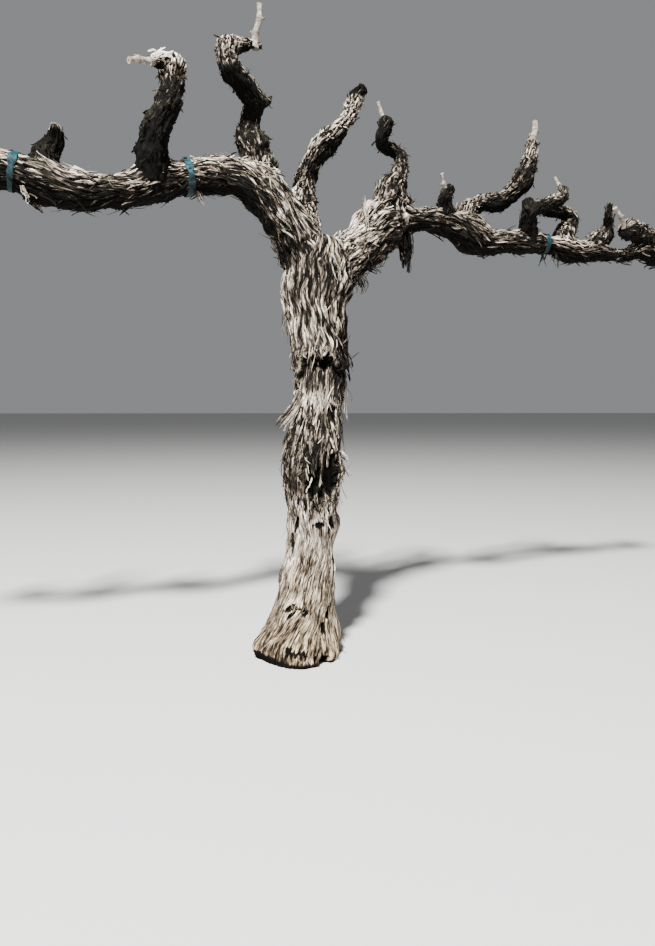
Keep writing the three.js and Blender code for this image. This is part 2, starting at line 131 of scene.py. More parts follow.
# %% Knees of the spurs and of the side heads that are one with them
SPURS = {
    "spur_centre": [
        [[-12, 5, 905, 34], [-13, 18, 980, 28], [-8, 20, 1028, 23], [2, 8, 1062, 18],
         [22, -4, 1093, 25], [42, -15, 1114, 20], [62, -20, 1138, 13], [88, -11, 1176, 14],
         [100, -4, 1204, 17], [118, 5, 1228, 12]],
    ],
    "spur_left_1": [
        [[-112, 0, 1000, 32], [-120, 15, 1062, 31], [-126, 30, 1104, 26], [-126, 30, 1135, 23],
         [-122, 12, 1162, 19], [-146, -10, 1186, 20], [-176, -20, 1208, 19], [-182, -10, 1235, 17],
         [-172, 8, 1268, 18]],
        [[-178, 4, 1262, 14], [-150, 15, 1276, 13], [-126, 22, 1286, 10], [-102, 30, 1290, 6]],
    ],
    "spur_left_2": [
        [[-330, 0, 985, 33], [-333, -20, 1040, 32], [-328, -30, 1072, 28], [-308, -25, 1112, 24],
         [-291, -5, 1158, 23], [-286, 5, 1206, 23]],
        [[-284, 2, 1210, 19], [-306, -10, 1210, 16], [-322, -20, 1202, 11]],
    ],
    "spur_left_3": [
        [[-530, 0, 965, 32], [-530, 10, 1000, 28], [-518, 20, 1022, 21], [-505, 14, 1042, 17],
         [-505, 0, 1060, 9]],
    ],
    "spur_left_4": [
        [[-728, 0, 958, 30], [-738, -12, 1002, 28], [-762, -20, 1040, 23], [-770, -8, 1078, 20],
         [-752, 10, 1112, 19], [-722, 18, 1136, 16], [-712, 10, 1162, 12]],
    ],
    "spur_left_5": [
        [[-888, 5, 978, 24], [-926, 8, 996, 26], [-944, 10, 1030, 23], [-932, 4, 1066, 19],
         [-908, -8, 1088, 16], [-898, -14, 1118, 13]],
    ],
    "spur_right_1": [
        [[188, 8, 965, 40], [184, -2, 1006, 37], [188, -4, 1030, 27], [207, 2, 1054, 19],
         [218, 15, 1082, 15], [222, 26, 1110, 14], [199, 25, 1122, 13], [172, 10, 1123, 12],
         [167, -2, 1140, 12], [178, -2, 1167, 14]],
    ],
    "spur_right_2": [
        [[328, -4, 965, 24], [320, -15, 996, 19], [312, -30, 1020, 15], [322, -30, 1036, 9]],
    ],
    "spur_right_3": [
        [[380, -5, 950, 31], [390, 12, 985, 28], [416, 30, 1018, 22], [458, 35, 1035, 20],
         [500, 30, 1045, 21], [528, 16, 1067, 22], [542, 0, 1096, 20], [553, -10, 1140, 16],
         [561, -5, 1174, 13]],
    ],
    "spur_right_4": [
        [[560, 2, 948, 26], [550, -15, 972, 23], [537, -32, 1006, 17], [535, -30, 1030, 12]],
        [[538, -34, 1004, 12], [566, -35, 1020, 13], [600, -24, 1036, 15], [636, -8, 1050, 14],
         [660, 0, 1066, 13], [664, 0, 1082, 10]],
    ],
    "spur_right_5": [
        [[682, 10, 942, 26], [686, 20, 972, 27], [708, 34, 1004, 23], [716, 38, 1024, 20],
         [696, 35, 1036, 16], [662, 30, 1034, 12], [636, 26, 1032, 11], [620, 30, 1040, 8]],
    ],
    "spur_right_6": [
        [[748, 2, 945, 20], [778, 12, 966, 23], [806, 10, 990, 21], [810, 2, 1010, 14],
         [802, -6, 1030, 11], [800, -12, 1056, 7]],
    ],
    "spur_right_7": [
        [[968, 0, 965, 29], [930, -6, 984, 28], [892, -16, 994, 25], [848, -30, 994, 25]],
    ],
}
print(len(SPURS), "spurs")

# %% [markdown]
# ## A smooth line through the knees
#
# A limb needs a ring of points every few millimetres. Straight lengths between the knees would
# show as corners, so the middle line is a smooth spline, which passes through every knee.
# Each ring lies square to a direction that is taken across the limb's own width, not at a single
# point, so that the rings of a sharp bend fan out instead of crossing.

# %% Rings along a limb
LINE_SAMPLES = 4000
LOOK_ROUND = 0.8  # how far a ring looks along the limb for its direction, in radii
CAP_LENGTH = 0.8  # how far a round end stands out, in radii
CAP_TURN = math.radians(82)  # how far round an end its last ring lies
CAP_FULLNESS = 0.6  # below 1 keeps an end blunt, as a pruned limb's is


def spline(values, t, before, after):
    """Values at places t on the smooth line through a row of values."""
    padded = np.vstack([before, values, after])
    i = np.clip(np.floor(t).astype(int), 0, len(values) - 2)
    w = (t - i)[:, None]
    p0, p1, p2, p3 = (padded[i + k] for k in range(4))
    curve = (2 * p0 - 5 * p1 + 4 * p2 - p3) * w**2 + (3 * p1 - p0 - 3 * p2 + p3) * w**3
    return p1 + 0.5 * ((p2 - p0) * w + curve)


def unit(vectors):
    return vectors / np.linalg.norm(vectors, axis=-1, keepdims=True)


def turned_from(aside, above, angle):
    """Directions turned from one direction towards another, square to it, by an angle."""
    return np.cos(angle)[..., None] * aside + np.sin(angle)[..., None] * above


def smooth_line(knees):
    """The dense middle line, its radii, and the distance along it, all in metres."""
    knees = np.array(knees, float) * MM
    t = np.linspace(0, len(knees) - 1, LINE_SAMPLES)
    places, radii = knees[:, :3], knees[:, 3:]
    line = spline(places, t, 2 * places[0] - places[1], 2 * places[-1] - places[-2])
    radius = spline(radii, t, radii[0], radii[-1])[:, 0]
    steps = np.linalg.norm(np.diff(line, axis=0), axis=1)
    return line, radius, np.concatenate([[0], np.cumsum(steps)])


def at_distance(distance, lengths, values):
    return np.stack([np.interp(distance, lengths, column) for column in values.T], -1)


def rings_along(knees, step, start=0.0, start_cap=True):
    """Rings every step metres: their centre, radius, three directions, and distance along."""
    line, radii, lengths = smooth_line(knees)
    count = max(6, round((lengths[-1] - start) / step))
    along = np.linspace(start, lengths[-1], count + 1)
    centre = at_distance(along, lengths, line)
    radius = np.interp(along, lengths, radii)
    ahead = at_distance(along + LOOK_ROUND * radius, lengths, line)
    behind = at_distance(along - LOOK_ROUND * radius, lengths, line)
    forward = unit(ahead - behind)
    shrink = np.ones(count + 1)
    turns = np.linspace(0, CAP_TURN, max(4, round(1.2 * radius[-1] / step)) + 1)[1:]
    ends = [(-1, 1)] if not start_cap else [(-1, 1), (0, -1)]
    for row, way in ends:
        reach = CAP_LENGTH * radius[row] * np.sin(turns)
        extra = {
            "centre": centre[row] + way * reach[:, None] * forward[row],
            "radius": np.full(len(turns), radius[row]),
            "forward": np.repeat(forward[[row]], len(turns), 0),
            "along": along[row] + way * reach,
            "shrink": np.cos(turns) ** CAP_FULLNESS,
        }
        rows = {"centre": centre, "radius": radius, "forward": forward, "along": along, "shrink": shrink}
        for key, values in rows.items():
            rows[key] = np.concatenate([values, extra[key]] if way > 0 else [extra[key][::-1], values])
        centre, radius, forward, along, shrink = rows.values()
    side = np.empty_like(centre)
    aside = np.array([1.0, 0.0, 0.0])
    for i, direction in enumerate(forward):
        aside = unit(aside - aside.dot(direction) * direction)
        side[i] = aside
    across = np.cross(forward, side)
    return SimpleNamespace(
        centre=centre, radius=radius, forward=forward, side=side, across=across, along=along, shrink=shrink
    )


def length_to_ground(knees):
    """How far along its line a limb meets the ground."""
    line, _, lengths = smooth_line(knees)
    return float(np.interp(0, line[: LINE_SAMPLES // 2, 2], lengths[: LINE_SAMPLES // 2]))


print("the trunk's line meets the ground", round(length_to_ground(TRUNK) / MM), "mm along")

# %% [markdown]
# ## Repeatable chance
#
# Bark looks random, but the script has to give the same vine on every run. So nothing is drawn
# from a random stream: each number comes from the place that it is for, by mixing the digits of
# its cell. Values smoothed between cells are noise. Distances to scattered points divide a surface
# into patches, and when these are stretched along the limb they are strips of bark.

# %% Noise and strips
LOW_BITS = 0xFFFFFFFF
CELL_JITTER = 0.75
ALONG_WEIGHT = 0.9  # how much a strip's length counts beside its width


def chance(column, row, seed):
    """A repeatable number from 0 to 1 for each cell of an endless grid."""
    whole = [np.atleast_1d(number).astype(np.int64) for number in (column, row)]
    column, row = np.broadcast_arrays(*whole)
    stirred = (column * 374761393 + row * 668265263 + seed * 1442695041) & LOW_BITS
    for shift, factor in ((15, 2246822519), (13, 3266489917)):
        stirred = ((stirred ^ (stirred >> shift)) * factor) & LOW_BITS
    return (stirred ^ (stirred >> 16)) / LOW_BITS


def fade(t):
    return t * t * (3 - 2 * t)


def step_up(low, high, values):
    """0 below low, 1 above high, and smooth between."""
    return fade(np.clip((values - low) / (high - low), 0, 1))


def by_height(height, stops):
    """Values at heights, read between stops that are pairs of a height and a value."""
    return np.interp(height, *np.array(stops).T)


def noise(x, y, wrap, seed):
    """Smooth values from 0 to 1 that repeat after wrap cells of x, as a limb's girth does."""
    i, j = np.floor(x).astype(int), np.floor(y).astype(int)
    u, v = fade(x - i), fade(y - j)
    corner = [[chance((i + a) % wrap, j + b, seed) for b in (0, 1)] for a in (0, 1)]
    near = corner[0][0] * (1 - v) + corner[0][1] * v
    far = corner[1][0] * (1 - v) + corner[1][1] * v
    return near * (1 - u) + far * u


def noise_in_space(points, size, seed):
    """Smooth values from -1 to 1 over points in space, with lumps of about the given size."""
    places = points / size
    cell = np.floor(places).astype(int)
    part = fade(places - cell)
    total = 0
    for a in (0, 1):
        for b in (0, 1):
            for c in (0, 1):
                value = chance((cell[..., 0] + a) * 911 + cell[..., 1] + b, cell[..., 2] + c, seed)
                weight = np.abs(1 - a - part[..., 0]) * np.abs(1 - b - part[..., 1])
                total = total + value * weight * np.abs(1 - c - part[..., 2])
    return 2 * total - 1


def strips(x, y, wrap, seed):
    """For each point the strip it is on: how clear of its edge, how far along, and two chances."""
    i, j = np.floor(x).astype(int), np.floor(y).astype(int)
    nearest = np.full(np.broadcast(x, y).shape, np.inf)
    second = nearest.copy()
    place = np.zeros_like(nearest)
    tone = np.zeros_like(nearest)
    luck = np.zeros_like(nearest)
    for a in (-1, 0, 1):
        for b in (-1, 0, 1):
            column, row = i + a, j + b
            key = column % wrap
            dx = x - column - 0.5 - CELL_JITTER * (chance(key, row, seed) - 0.5)
            dy = y - row - 0.5 - CELL_JITTER * (chance(key, row, seed + 1) - 0.5)
            gap = np.hypot(dx, ALONG_WEIGHT * dy)
            closer = gap < nearest
            second = np.where(closer, nearest, np.minimum(second, gap))
            place = np.where(closer, dy, place)
            tone = np.where(closer, chance(key, row, seed + 2), tone)
            luck = np.where(closer, chance(key, row, seed + 3), luck)
            nearest = np.where(closer, gap, nearest)
    return second - nearest, place, tone, luck


print("noise at one place, the same on every run:", round(float(noise(0.3, 0.7, 8, 1)), 6))

# %% [markdown]
# ## The relief of old bark
#
# A vine's bark splits into long ribbons that lie over each other. A bump texture would leave the
# outline smooth, and a displacement modifier can't overlap. Here the relief is laid on as the
# plant lays it: furrows that divide the wood into strands, then several layers of ribbons, each
# layer sparser and higher than the last and leaning a little across it. The highest layer shows.
# Where a ribbon is missing, the shadowed layer below it is seen.

# %% Layers of bark ribbons
# Width, length, lift, spread and crown are in millimetres: how high a layer's ribbons lie, how much
# that differs, and how arched they are. there is the share of places that have a ribbon, and lean
# is how far it drifts across the limb for each millimetre along.
LAYER_FIELDS = "width length there lift spread crown lean seed"
BARK_LAYERS = table(
    LAYER_FIELDS,
    (4.6, 42, 1.6, 1.0, 1.1, 0.8, 0.03, 11),
    (7, 60, 0.6, 2.8, 1.3, 1.0, -0.08, 23),
    (4.2, 45, 0.42, 4.6, 1.5, 0.6, 0.14, 37),
)
FLAKE_LAYERS = table(
    LAYER_FIELDS,
    (4.6, 22, 1.6, 0.8, 1.6, 1.2, 0.03, 11),
    (7, 22, 0.7, 3.4, 2.2, 1.4, -0.16, 23),
    (5, 16, 0.5, 6.2, 2.2, 1.2, 0.26, 37),
)
FURROW_WIDTH = 20
FURROW_LENGTH = 100
FURROW_DEPTH = 5.0
FIBRE_WIDTH = 3.2
FIBRE_LENGTH = 18
FIBRE_DEPTH = 1.1
FURROW_EDGE = 0.34  # how wide a furrow is, as a part of its strand
RIBBON_EDGE = (0.02, 0.2)  # a ribbon's edge rises between these distances from its border
CROWN_EDGE = 0.7  # and its arch up to this one
END_LIFT = 2.4  # how far the end of a loose ribbon stands up
BARE_DEPTH = -1.0  # height of the shadowed layer between ribbons
WAVER_SIZE = 45  # length of the bends in a ribbon's course
FULL_SIZE_RADIUS = 60  # thinner limbs have narrower and flatter ribbons
THIN_WIDTH = 0.75
THIN_RELIEF = 0.6


def bark_relief(around, along, radius, seed, shag, layers=BARK_LAYERS):
    """Height of the bark in metres, and each ribbon's tone. shag is 0 for tight bark, 1 for loose."""
    size = float(np.clip(radius.mean() / (FULL_SIZE_RADIUS * MM), THIN_WIDTH, 1))
    flat = np.clip(radius / (FULL_SIZE_RADIUS * MM), THIN_RELIEF, 1)
    girth = 2 * math.pi * float(radius.mean()) / MM
    length = along / MM
    bends = noise(around * 5, length / WAVER_SIZE, 5, seed) - 0.5

    def columns(width):
        return max(5, round(girth / (width * size)))

    wrap = columns(FURROW_WIDTH)
    x = around * wrap + 1.1 * bends
    clear, _, _, depth = strips(x, length / FURROW_LENGTH, wrap, seed + 5)
    furrow = (1 - step_up(0, FURROW_EDGE, clear)) * (0.35 + 0.65 * depth) * (0.3 + 0.7 * shag)
    height = np.full(clear.shape, BARE_DEPTH)
    tone = np.zeros(clear.shape)
    for layer in layers:
        wrap = columns(layer["width"])
        lean = layer["lean"] * length / (layer["width"] * size)
        x = around * wrap + lean + 1.6 * bends
        cells = length / (layer["length"] * size)
        clear, place, light, luck = strips(x, cells, wrap, seed + layer["seed"])
        edge = step_up(*RIBBON_EDGE, clear)
        rise = layer["lift"] * (0.55 + 0.45 * shag) + layer["spread"] * (2 * light - 1) * shag
        rise = rise + layer["crown"] * step_up(0, CROWN_EDGE, clear) + END_LIFT * shag * place * luck
        there = luck < layer["there"] * (0.35 + 0.65 * shag)
        lying = np.where(there, rise * edge + BARE_DEPTH * (1 - edge), -np.inf)
        tone = np.where(lying > height, light, tone)
        height = np.maximum(height, lying)
    wrap = columns(FIBRE_WIDTH)
    x = around * wrap + 3 * bends
    fibre = noise(x, length / FIBRE_LENGTH, wrap, seed + 9) - 0.5
    height = height + FIBRE_DEPTH * fibre - FURROW_DEPTH * furrow
    return (height - height.mean()) * flat * MM, tone


test_place = (np.linspace(0, 1, 64)[None, :], np.linspace(0, 0.5, 80)[:, None])
test_height, _ = bark_relief(*test_place, np.full((80, 1), FULL_SIZE_RADIUS * MM), 1, 1)
print("relief from", round(test_height.min() / MM, 1), "to", round(test_height.max() / MM, 1), "mm")

# %% [markdown]
# ## From rings to a skin
#
# Each limb's skin is a grid of points: rings along the limb, columns round it. The columns follow
# the grain, twisting slowly round the limb, so a ribbon's edge runs along the mesh's own edges and
# stays clean. On top of the bark's relief lie the limb's slow swellings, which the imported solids
# have too, and smaller lumps. Where two limbs meet, both swell towards each other, as wood does in
# a crotch, by the same amount as a smooth union of the two would.

# %% Swellings, toes and flutes
SWELLS = table(
    "share turn phase",
    (0.5, (1 / 31, 0, 1 / 47), 0),
    (0.3, (0, 1 / 23, -1 / 29), 2),
    (0.2, (1 / 17, 1 / 17, 1 / 19), 4),
)
ARM_GNARL = 0.05
SPUR_GNARL = 0.09
TOE_DEPTH = 0.13
TOE_FADE = 110
TOE_ANGLES = [180, 240, 318, 30, 100]
TOE_SHARPNESS = 3
FLUTES = [{"count": 3, "depth": 0.045, "pitch": 260}, {"count": 5, "depth": 0.03, "pitch": -190}]
KNUCKLE_HEIGHT = 4.5
KNUCKLES = table(
    "share turn phase",
    (0.4, (1 / 15, 1 / 31, 1 / 17), 1),
    (0.35, (-1 / 29, 1 / 14, 1 / 21), 3),
    (0.25, (1 / 19, -1 / 17, 1 / 12), 5),
)


def waves(points, rows):
    """Slow swellings from about -1 to 1, told by the place in space in millimetres."""
    return sum(row["share"] * np.sin(points @ np.array(row["turn"]) + row["phase"]) for row in rows)


def gnarl(centre, amount):
    """A limb's swellings, as a factor on its radius."""
    return 1 + amount * waves(centre / MM, SWELLS)


def trunk_profile(angle, height):
    """Toes at the foot and twisting flutes higher up, as a factor on the trunk's radius."""
    factor = 1.0
    for toe in TOE_ANGLES:
        facing = np.maximum(0, np.cos(angle - math.radians(toe)))
        factor = factor + TOE_DEPTH * facing**TOE_SHARPNESS * np.exp(-np.maximum(0, height) / TOE_FADE)
    for flute in FLUTES:
        twist = height / flute["pitch"] * 2 * math.pi
        factor = factor + flute["depth"] * np.sin(flute["count"] * angle + twist)
    return factor


# %% Balls along a limb, to measure how near another limb is
BALL_STEP = 4 * MM
MEETING = 1.1  # how far a collar reaches, as a part of the thinner limb's radius
POINTS_AT_ONCE = 20000


def balls_along(knees, amount):
    line, radius, lengths = smooth_line(knees)
    along = np.arange(0, lengths[-1], BALL_STEP)
    centre = at_distance(along, lengths, line)
    return centre, np.interp(along, lengths, radius) * gnarl(centre, amount)


def distance_to(points, balls):
    """Distance from each point to a limb's surface, and that limb's radius there."""
    centres, radii = balls
    near = np.empty(len(points))
    girth = np.empty(len(points))
    for first in range(0, len(points), POINTS_AT_ONCE):
        some = points[first : first + POINTS_AT_ONCE]
        gaps = np.linalg.norm(some[:, None] - centres[None], axis=2) - radii
        best = gaps.argmin(1)
        near[first : first + len(some)] = gaps[np.arange(len(some)), best]
        girth[first : first + len(some)] = radii[best]
    return near, girth


limb_balls = {"trunk": [balls_along(TRUNK, 0)]}
limb_balls["arm_left"] = [balls_along(ARM_LEFT, ARM_GNARL)]
limb_balls["arm_right"] = [balls_along(ARM_RIGHT, ARM_GNARL)]
for spur_name, lines in SPURS.items():
    limb_balls[spur_name] = [balls_along(knees, SPUR_GNARL) for knees in lines]
print(sum(len(balls[0]) for row in limb_balls.values() for balls in row), "balls along the limbs")

# %% A grid of points for one limb
ARM_SKIN, SPUR_SKIN = table(
    "columns step amount shag layers knobs",
    (256, 4.4 * MM, ARM_GNARL, 0.72, BARK_LAYERS, 1.0),
    (96, 3.0 * MM, SPUR_GNARL, 0.75, FLAKE_LAYERS, 1.7),
)
TWIST = 0.25  # turns of the grain for each metre along a limb
WAVER = 0.06  # turns that the grain wanders by
SMALL_WAVER = 0.022
LUMPS = [{"size": 42 * MM, "height": 0.16}, {"size": 17 * MM, "height": 0.10}]  # heights in radii
SHAG_PATCHES = 0.7  # how much looser the bark is in one patch than in another
LUMP_SHADE = 0.4  # how much of a lump's height counts in how deep its surroundings look
LIMB_SHADOW = 2.4 * MM  # a point this far below its surroundings is in full shadow
# Single knobs of the spurs: the side that they face in degrees, their height on the plant, and
# their own size and rise, all in millimetres.
KNOBS = table(
    "name toward height size rise",
    ("spur_left_1", 330, 1166, 8, 15),
    ("spur_left_1", 215, 1096, 14, 6),
    ("spur_left_1", 250, 1062, 12, 8),
    ("spur_left_1", 340, 1100, 11, 8),
    ("spur_left_1", 335, 1044, 14, 11),
    ("spur_left_1", 165, 1135, 8, -6),
    ("spur_left_1", 160, 1180, 10, 4),
    ("spur_left_1", 340, 1228, 8, -4),
    ("spur_left_1", 158, 1240, 9, 4),
    ("spur_left_2", 160, 1100, 13, 5),
    ("spur_left_2", 340, 1070, 15, 5),
    ("spur_left_2", 165, 1040, 12, 5),
    ("spur_left_2", 340, 1128, 10, 4),
    ("spur_centre", 180, 1000, 16, 5),
    ("spur_right_1", 160, 1022, 16, 9),
    ("spur_right_1", 165, 972, 14, -10),
    ("spur_right_1", 338, 1006, 16, 7),
    ("spur_right_1", 250, 1016, 18, 7),
    ("spur_right_3", 250, 1046, 15, 5),
    ("spur_right_3", 338, 1075, 13, 5),
)
FOOT_TAPER = 0.22  # how much slimmer a limb starts, inside the limb that it grows from
FOOT_TAPER_END = 2.2  # how far that goes on, in radii
TOP_PAINTED_LIGHT = 0.36  # painted light and shade: a limb's upper side is painted paler and its underside darker
UNDER_PAINTED_SHADE = 0.86
UNDER_EDGE = (0.30, 1.0)  # the painted underside shade starts where the skin leans down by the first, and is full at the second
TIP_ROUGHNESS = {"height": 2.2 * MM, "size": 7 * MM}
TIP_RELIEF = 0.35  # how much of the bark's relief is left on a limb's end
NEIGHBOUR_REACH = 0.12  # limbs whose boxes are further apart than this, in metres, can't meet


def collars(points, outward, radius, name, own_line):
    """Swells a limb towards the limbs that it meets, and tells how deep each point is in them."""
    flat = points.reshape(-1, 3)
    push = np.zeros(len(flat))
    depth = np.full(len(flat), np.inf)
    low, high = flat.min(0) - NEIGHBOUR_REACH, flat.max(0) + NEIGHBOUR_REACH
    own_radius = np.broadcast_to(radius, points.shape[:2]).reshape(-1)
    for other, rows in limb_balls.items():
        for line, balls in enumerate(rows):
            if other == name and line == own_line:
                continue
            inside = ((balls[0] > low) & (balls[0] < high)).all(1)
            if not inside.any():
                continue
            gap, girth = distance_to(flat, (balls[0][inside], balls[1][inside]))
            reach = MEETING * np.minimum(own_radius, girth)
            share = np.clip(1 - np.abs(gap) / reach, 0, None)
            push = np.maximum(push, reach / 4 * share**2)
            depth = np.minimum(depth, gap)
    shape = points.shape[:2]
    return points + outward * push.reshape(shape)[..., None], depth.reshape(shape)


def blurred(values, rows, columns):
    """A local mean of a grid whose columns close on themselves."""
    total = sum(np.roll(values, shift, 1) for shift in range(-columns, columns + 1))
    padded = np.pad(total, ((rows, rows), (0, 0)), mode="edge")
    total = sum(padded[shift : shift + len(values)] for shift in range(2 * rows + 1))
    return total / ((2 * rows + 1) * (2 * columns + 1))


def grain_waver(around, along, seed):
    """Turns by which the grain leaves its even course, in a wide wave and a narrow one."""
    wide = noise(around * 3, along / (85 * MM), 3, seed) - 0.5
    narrow = noise(around * 8, along / (34 * MM), 8, seed + 1) - 0.5
    return WAVER * wide + SMALL_WAVER * narrow


def lumpy(points, radius, seed):
    """Knuckles of every size, as a height in metres."""
    return sum(
        lump["height"] * radius * noise_in_space(points, lump["size"], seed + 31 * i)
        for i, lump in enumerate(LUMPS)
    )


def knobbed(points, outward, centre, radius, name):
    """Raises the single knobs of a limb, each a round swelling at its height on its own side."""
    for knob in KNOBS:
        if knob["name"] != name:
            continue
        ring = int(np.abs(centre[:, 2] - knob["height"] * MM).argmin())
        turn = math.radians(knob["toward"])
        top = centre[ring] + radius[ring] * np.array([math.cos(turn), math.sin(turn), 0.0])
        away = np.linalg.norm(points - top, axis=-1) / (knob["size"] * MM)
        points = points + outward * (knob["rise"] * MM * np.exp(-(away**2)))[..., None]
    return points


def limb_grid(name, knees, seed, own_line=0, *, columns, step, amount, shag, layers, knobs):
    """The skin of one limb: its points and what the bark is like at each of them."""
    rings = rings_along(knees, step)
    around = np.arange(columns)[None, :] / columns
    along = rings.along[:, None]
    start = 1 - FOOT_TAPER * (1 - step_up(0, FOOT_TAPER_END * rings.radius[0], along))
    radius = rings.radius[:, None] * gnarl(rings.centre, amount)[:, None] * start
    angle = 2 * math.pi * (around + TWIST * along + grain_waver(around, along, seed + 3))
    outward = turned_from(rings.side[:, None], rings.across[:, None], angle)
    patches = noise(around * 3, along / (120 * MM), 3, seed + 7)
    loose = np.clip(shag + SHAG_PATCHES * (patches - 0.5), 0, 1)
    height, tone = bark_relief(around, along, rings.radius[:, None], seed, loose, layers)
    shrink = rings.shrink[:, None]
    points = rings.centre[:, None] + outward * (radius * shrink)[..., None]
    lumps = knobs * lumpy(points, radius, seed + 13)
    points, depth = collars(points, outward, radius, name, own_line)
    if own_line == 0:
        points = knobbed(points, outward, rings.centre, rings.radius, name)
    points = points + outward * (lumps * shrink + height * np.maximum(shrink, TIP_RELIEF))[..., None]
    rough = noise_in_space(points, TIP_ROUGHNESS["size"], seed + 17)
    rough = TIP_ROUGHNESS["height"] * (1 - shrink) * rough
    points = points + rings.forward[:, None] * rough[..., None]
    return SimpleNamespace(
        points=points, height=height + LUMP_SHADE * lumps, tone=tone, depth=depth, loose=loose,
        radius=rings.radius, around=around, along=along, tip=1 - shrink,
        bleach=TOP_PAINTED_LIGHT * outward[..., 2], shadow_range=LIMB_SHADOW,
        # painted shade on the limb's underside
        dark=UNDER_PAINTED_SHADE * step_up(*UNDER_EDGE, patches - 0.5 - outward[..., 2]),
    )


print("grids are made by limb_grid, one for each limb")

# %% From a grid to a mesh
BARE_END = 14 * MM  # no ribbons grow on the last stretch of a limb
BURIED = 2 * MM  # nor where the skin is in another limb, or this near to it
RIBBON_PAINTED_SHADE = 0.4  # how much the skin's painted shade also lowers the paleness that the ribbons on it take
LEVEL_HOLLOW = 0.32  # how hollow a point looks that is level with its surroundings
THICK_RADIUS = 50 * MM  # thinner limbs have shallower shadows
CUT_HOLLOW = 0.75  # how hollow a limb's end looks where it is not made paler
MAP_GAP = 0.004


def grid_faces(rows, columns):
    """Four-sided faces between the rings, and a fan at either end."""
    k = np.arange(columns)
    after = (k + 1) % columns
    low = (np.arange(rows - 1) * columns)[:, None]
    sides = np.stack([low + k, low + after, low + columns + after, low + columns + k], -1).reshape(-1, 4)
    foot = rows * columns
    end = (rows - 1) * columns
    first_fan = np.stack([np.full(columns, foot), after, k], -1)
    last_fan = np.stack([end + k, end + after, np.full(columns, foot + 1)], -1)
    return sides, np.vstack([first_fan, last_fan])


def grid_map(rows, columns, left, right):
    """The same faces laid flat in a square, between two places across it."""
    u = left + (right - left) * np.arange(columns + 1) / columns
    v = 0.02 + 0.96 * np.arange(rows) / (rows - 1)
    k = np.arange(columns)
    low = np.arange(rows - 1)[:, None]
    corners = [(k, low), (k + 1, low), (k + 1, low + 1), (k, low + 1)]
    sides = [np.stack(np.broadcast_arrays(u[a], v[b]), -1) for a, b in corners]
    sides = np.stack(sides, -2).reshape(-1, 2)
    middle = (u[k] + u[k + 1]) / 2
    level = 0 * middle
    bottom = [[middle, level + 0.001], [u[k + 1], level + v[0]], [u[k], level + v[0]]]
    top = [[u[k], level + v[-1]], [u[k + 1], level + v[-1]], [middle, level + 0.999]]
    fans = [np.moveaxis(np.stack(fan), 2, 0).reshape(-1, 2) for fan in (bottom, top)]
    return np.vstack([sides, *fans])


def mesh_of(name, points, faces, flat_map, smooth=True, **values):
    """A mesh from points, lists of faces of one kind, a map for each corner, and attributes."""
    mesh = bpy.data.meshes.new(name)
    corners = np.concatenate([f.ravel() for f in faces])
    sizes = np.concatenate([np.full(len(f), f.shape[1]) for f in faces])
    mesh.vertices.add(len(points))
    mesh.vertices.foreach_set("co", points.astype(np.float32).ravel())
    mesh.loops.add(len(corners))
    mesh.loops.foreach_set("vertex_index", corners.astype(np.int32))
    mesh.polygons.add(len(sizes))
    starts = np.concatenate([[0], np.cumsum(sizes)[:-1]])
    mesh.polygons.foreach_set("loop_start", starts.astype(np.int32))
    mesh.polygons.foreach_set("use_smooth", np.full(len(sizes), smooth))
    mesh.uv_layers.new(name="OFBake").data.foreach_set("uv", flat_map.astype(np.float32).ravel())
    mesh.update(calc_edges=True)
    for key, array in values.items():
        kind = "FLOAT_VECTOR" if array.ndim == 2 else "FLOAT"
        layer = mesh.attributes.new(key, kind, "POINT")
        layer.data.foreach_set("vector" if array.ndim == 2 else "value", array.astype(np.float32).ravel())
    mesh.validate()
    return mesh


def with_ends(values):
    """A grid's values in one row, followed by those at the middles of its two ends."""
    return np.concatenate([values.reshape(-1, *values.shape[2:]), [values[0].mean(0), values[-1].mean(0)]])


def joined_grids(name, grids, spans, values):
    """One mesh from grids of points, each with its own span of the map, and its values."""
    sides, fans, side_maps, fan_maps = [], [], [], []
    total = 0
    for grid, (left, right) in zip(grids, spans):
        rows, columns = grid.shape[:2]
        own_sides, own_fans = grid_faces(rows, columns)
        flat_map = grid_map(rows, columns, left + MAP_GAP, right - MAP_GAP)
        sides.append(own_sides + total)
        fans.append(own_fans + total)
        side_maps.append(flat_map[: own_sides.size])
        fan_maps.append(flat_map[own_sides.size :])
        total += rows * columns + 2
    joined = {key: np.concatenate([with_ends(part) for part in parts]) for key, parts in values.items()}
    points = np.concatenate([with_ends(grid) for grid in grids])
    faces = [np.vstack(sides), np.vstack(fans)]
    return mesh_of(name, points, faces, np.vstack(side_maps + fan_maps), **joined)


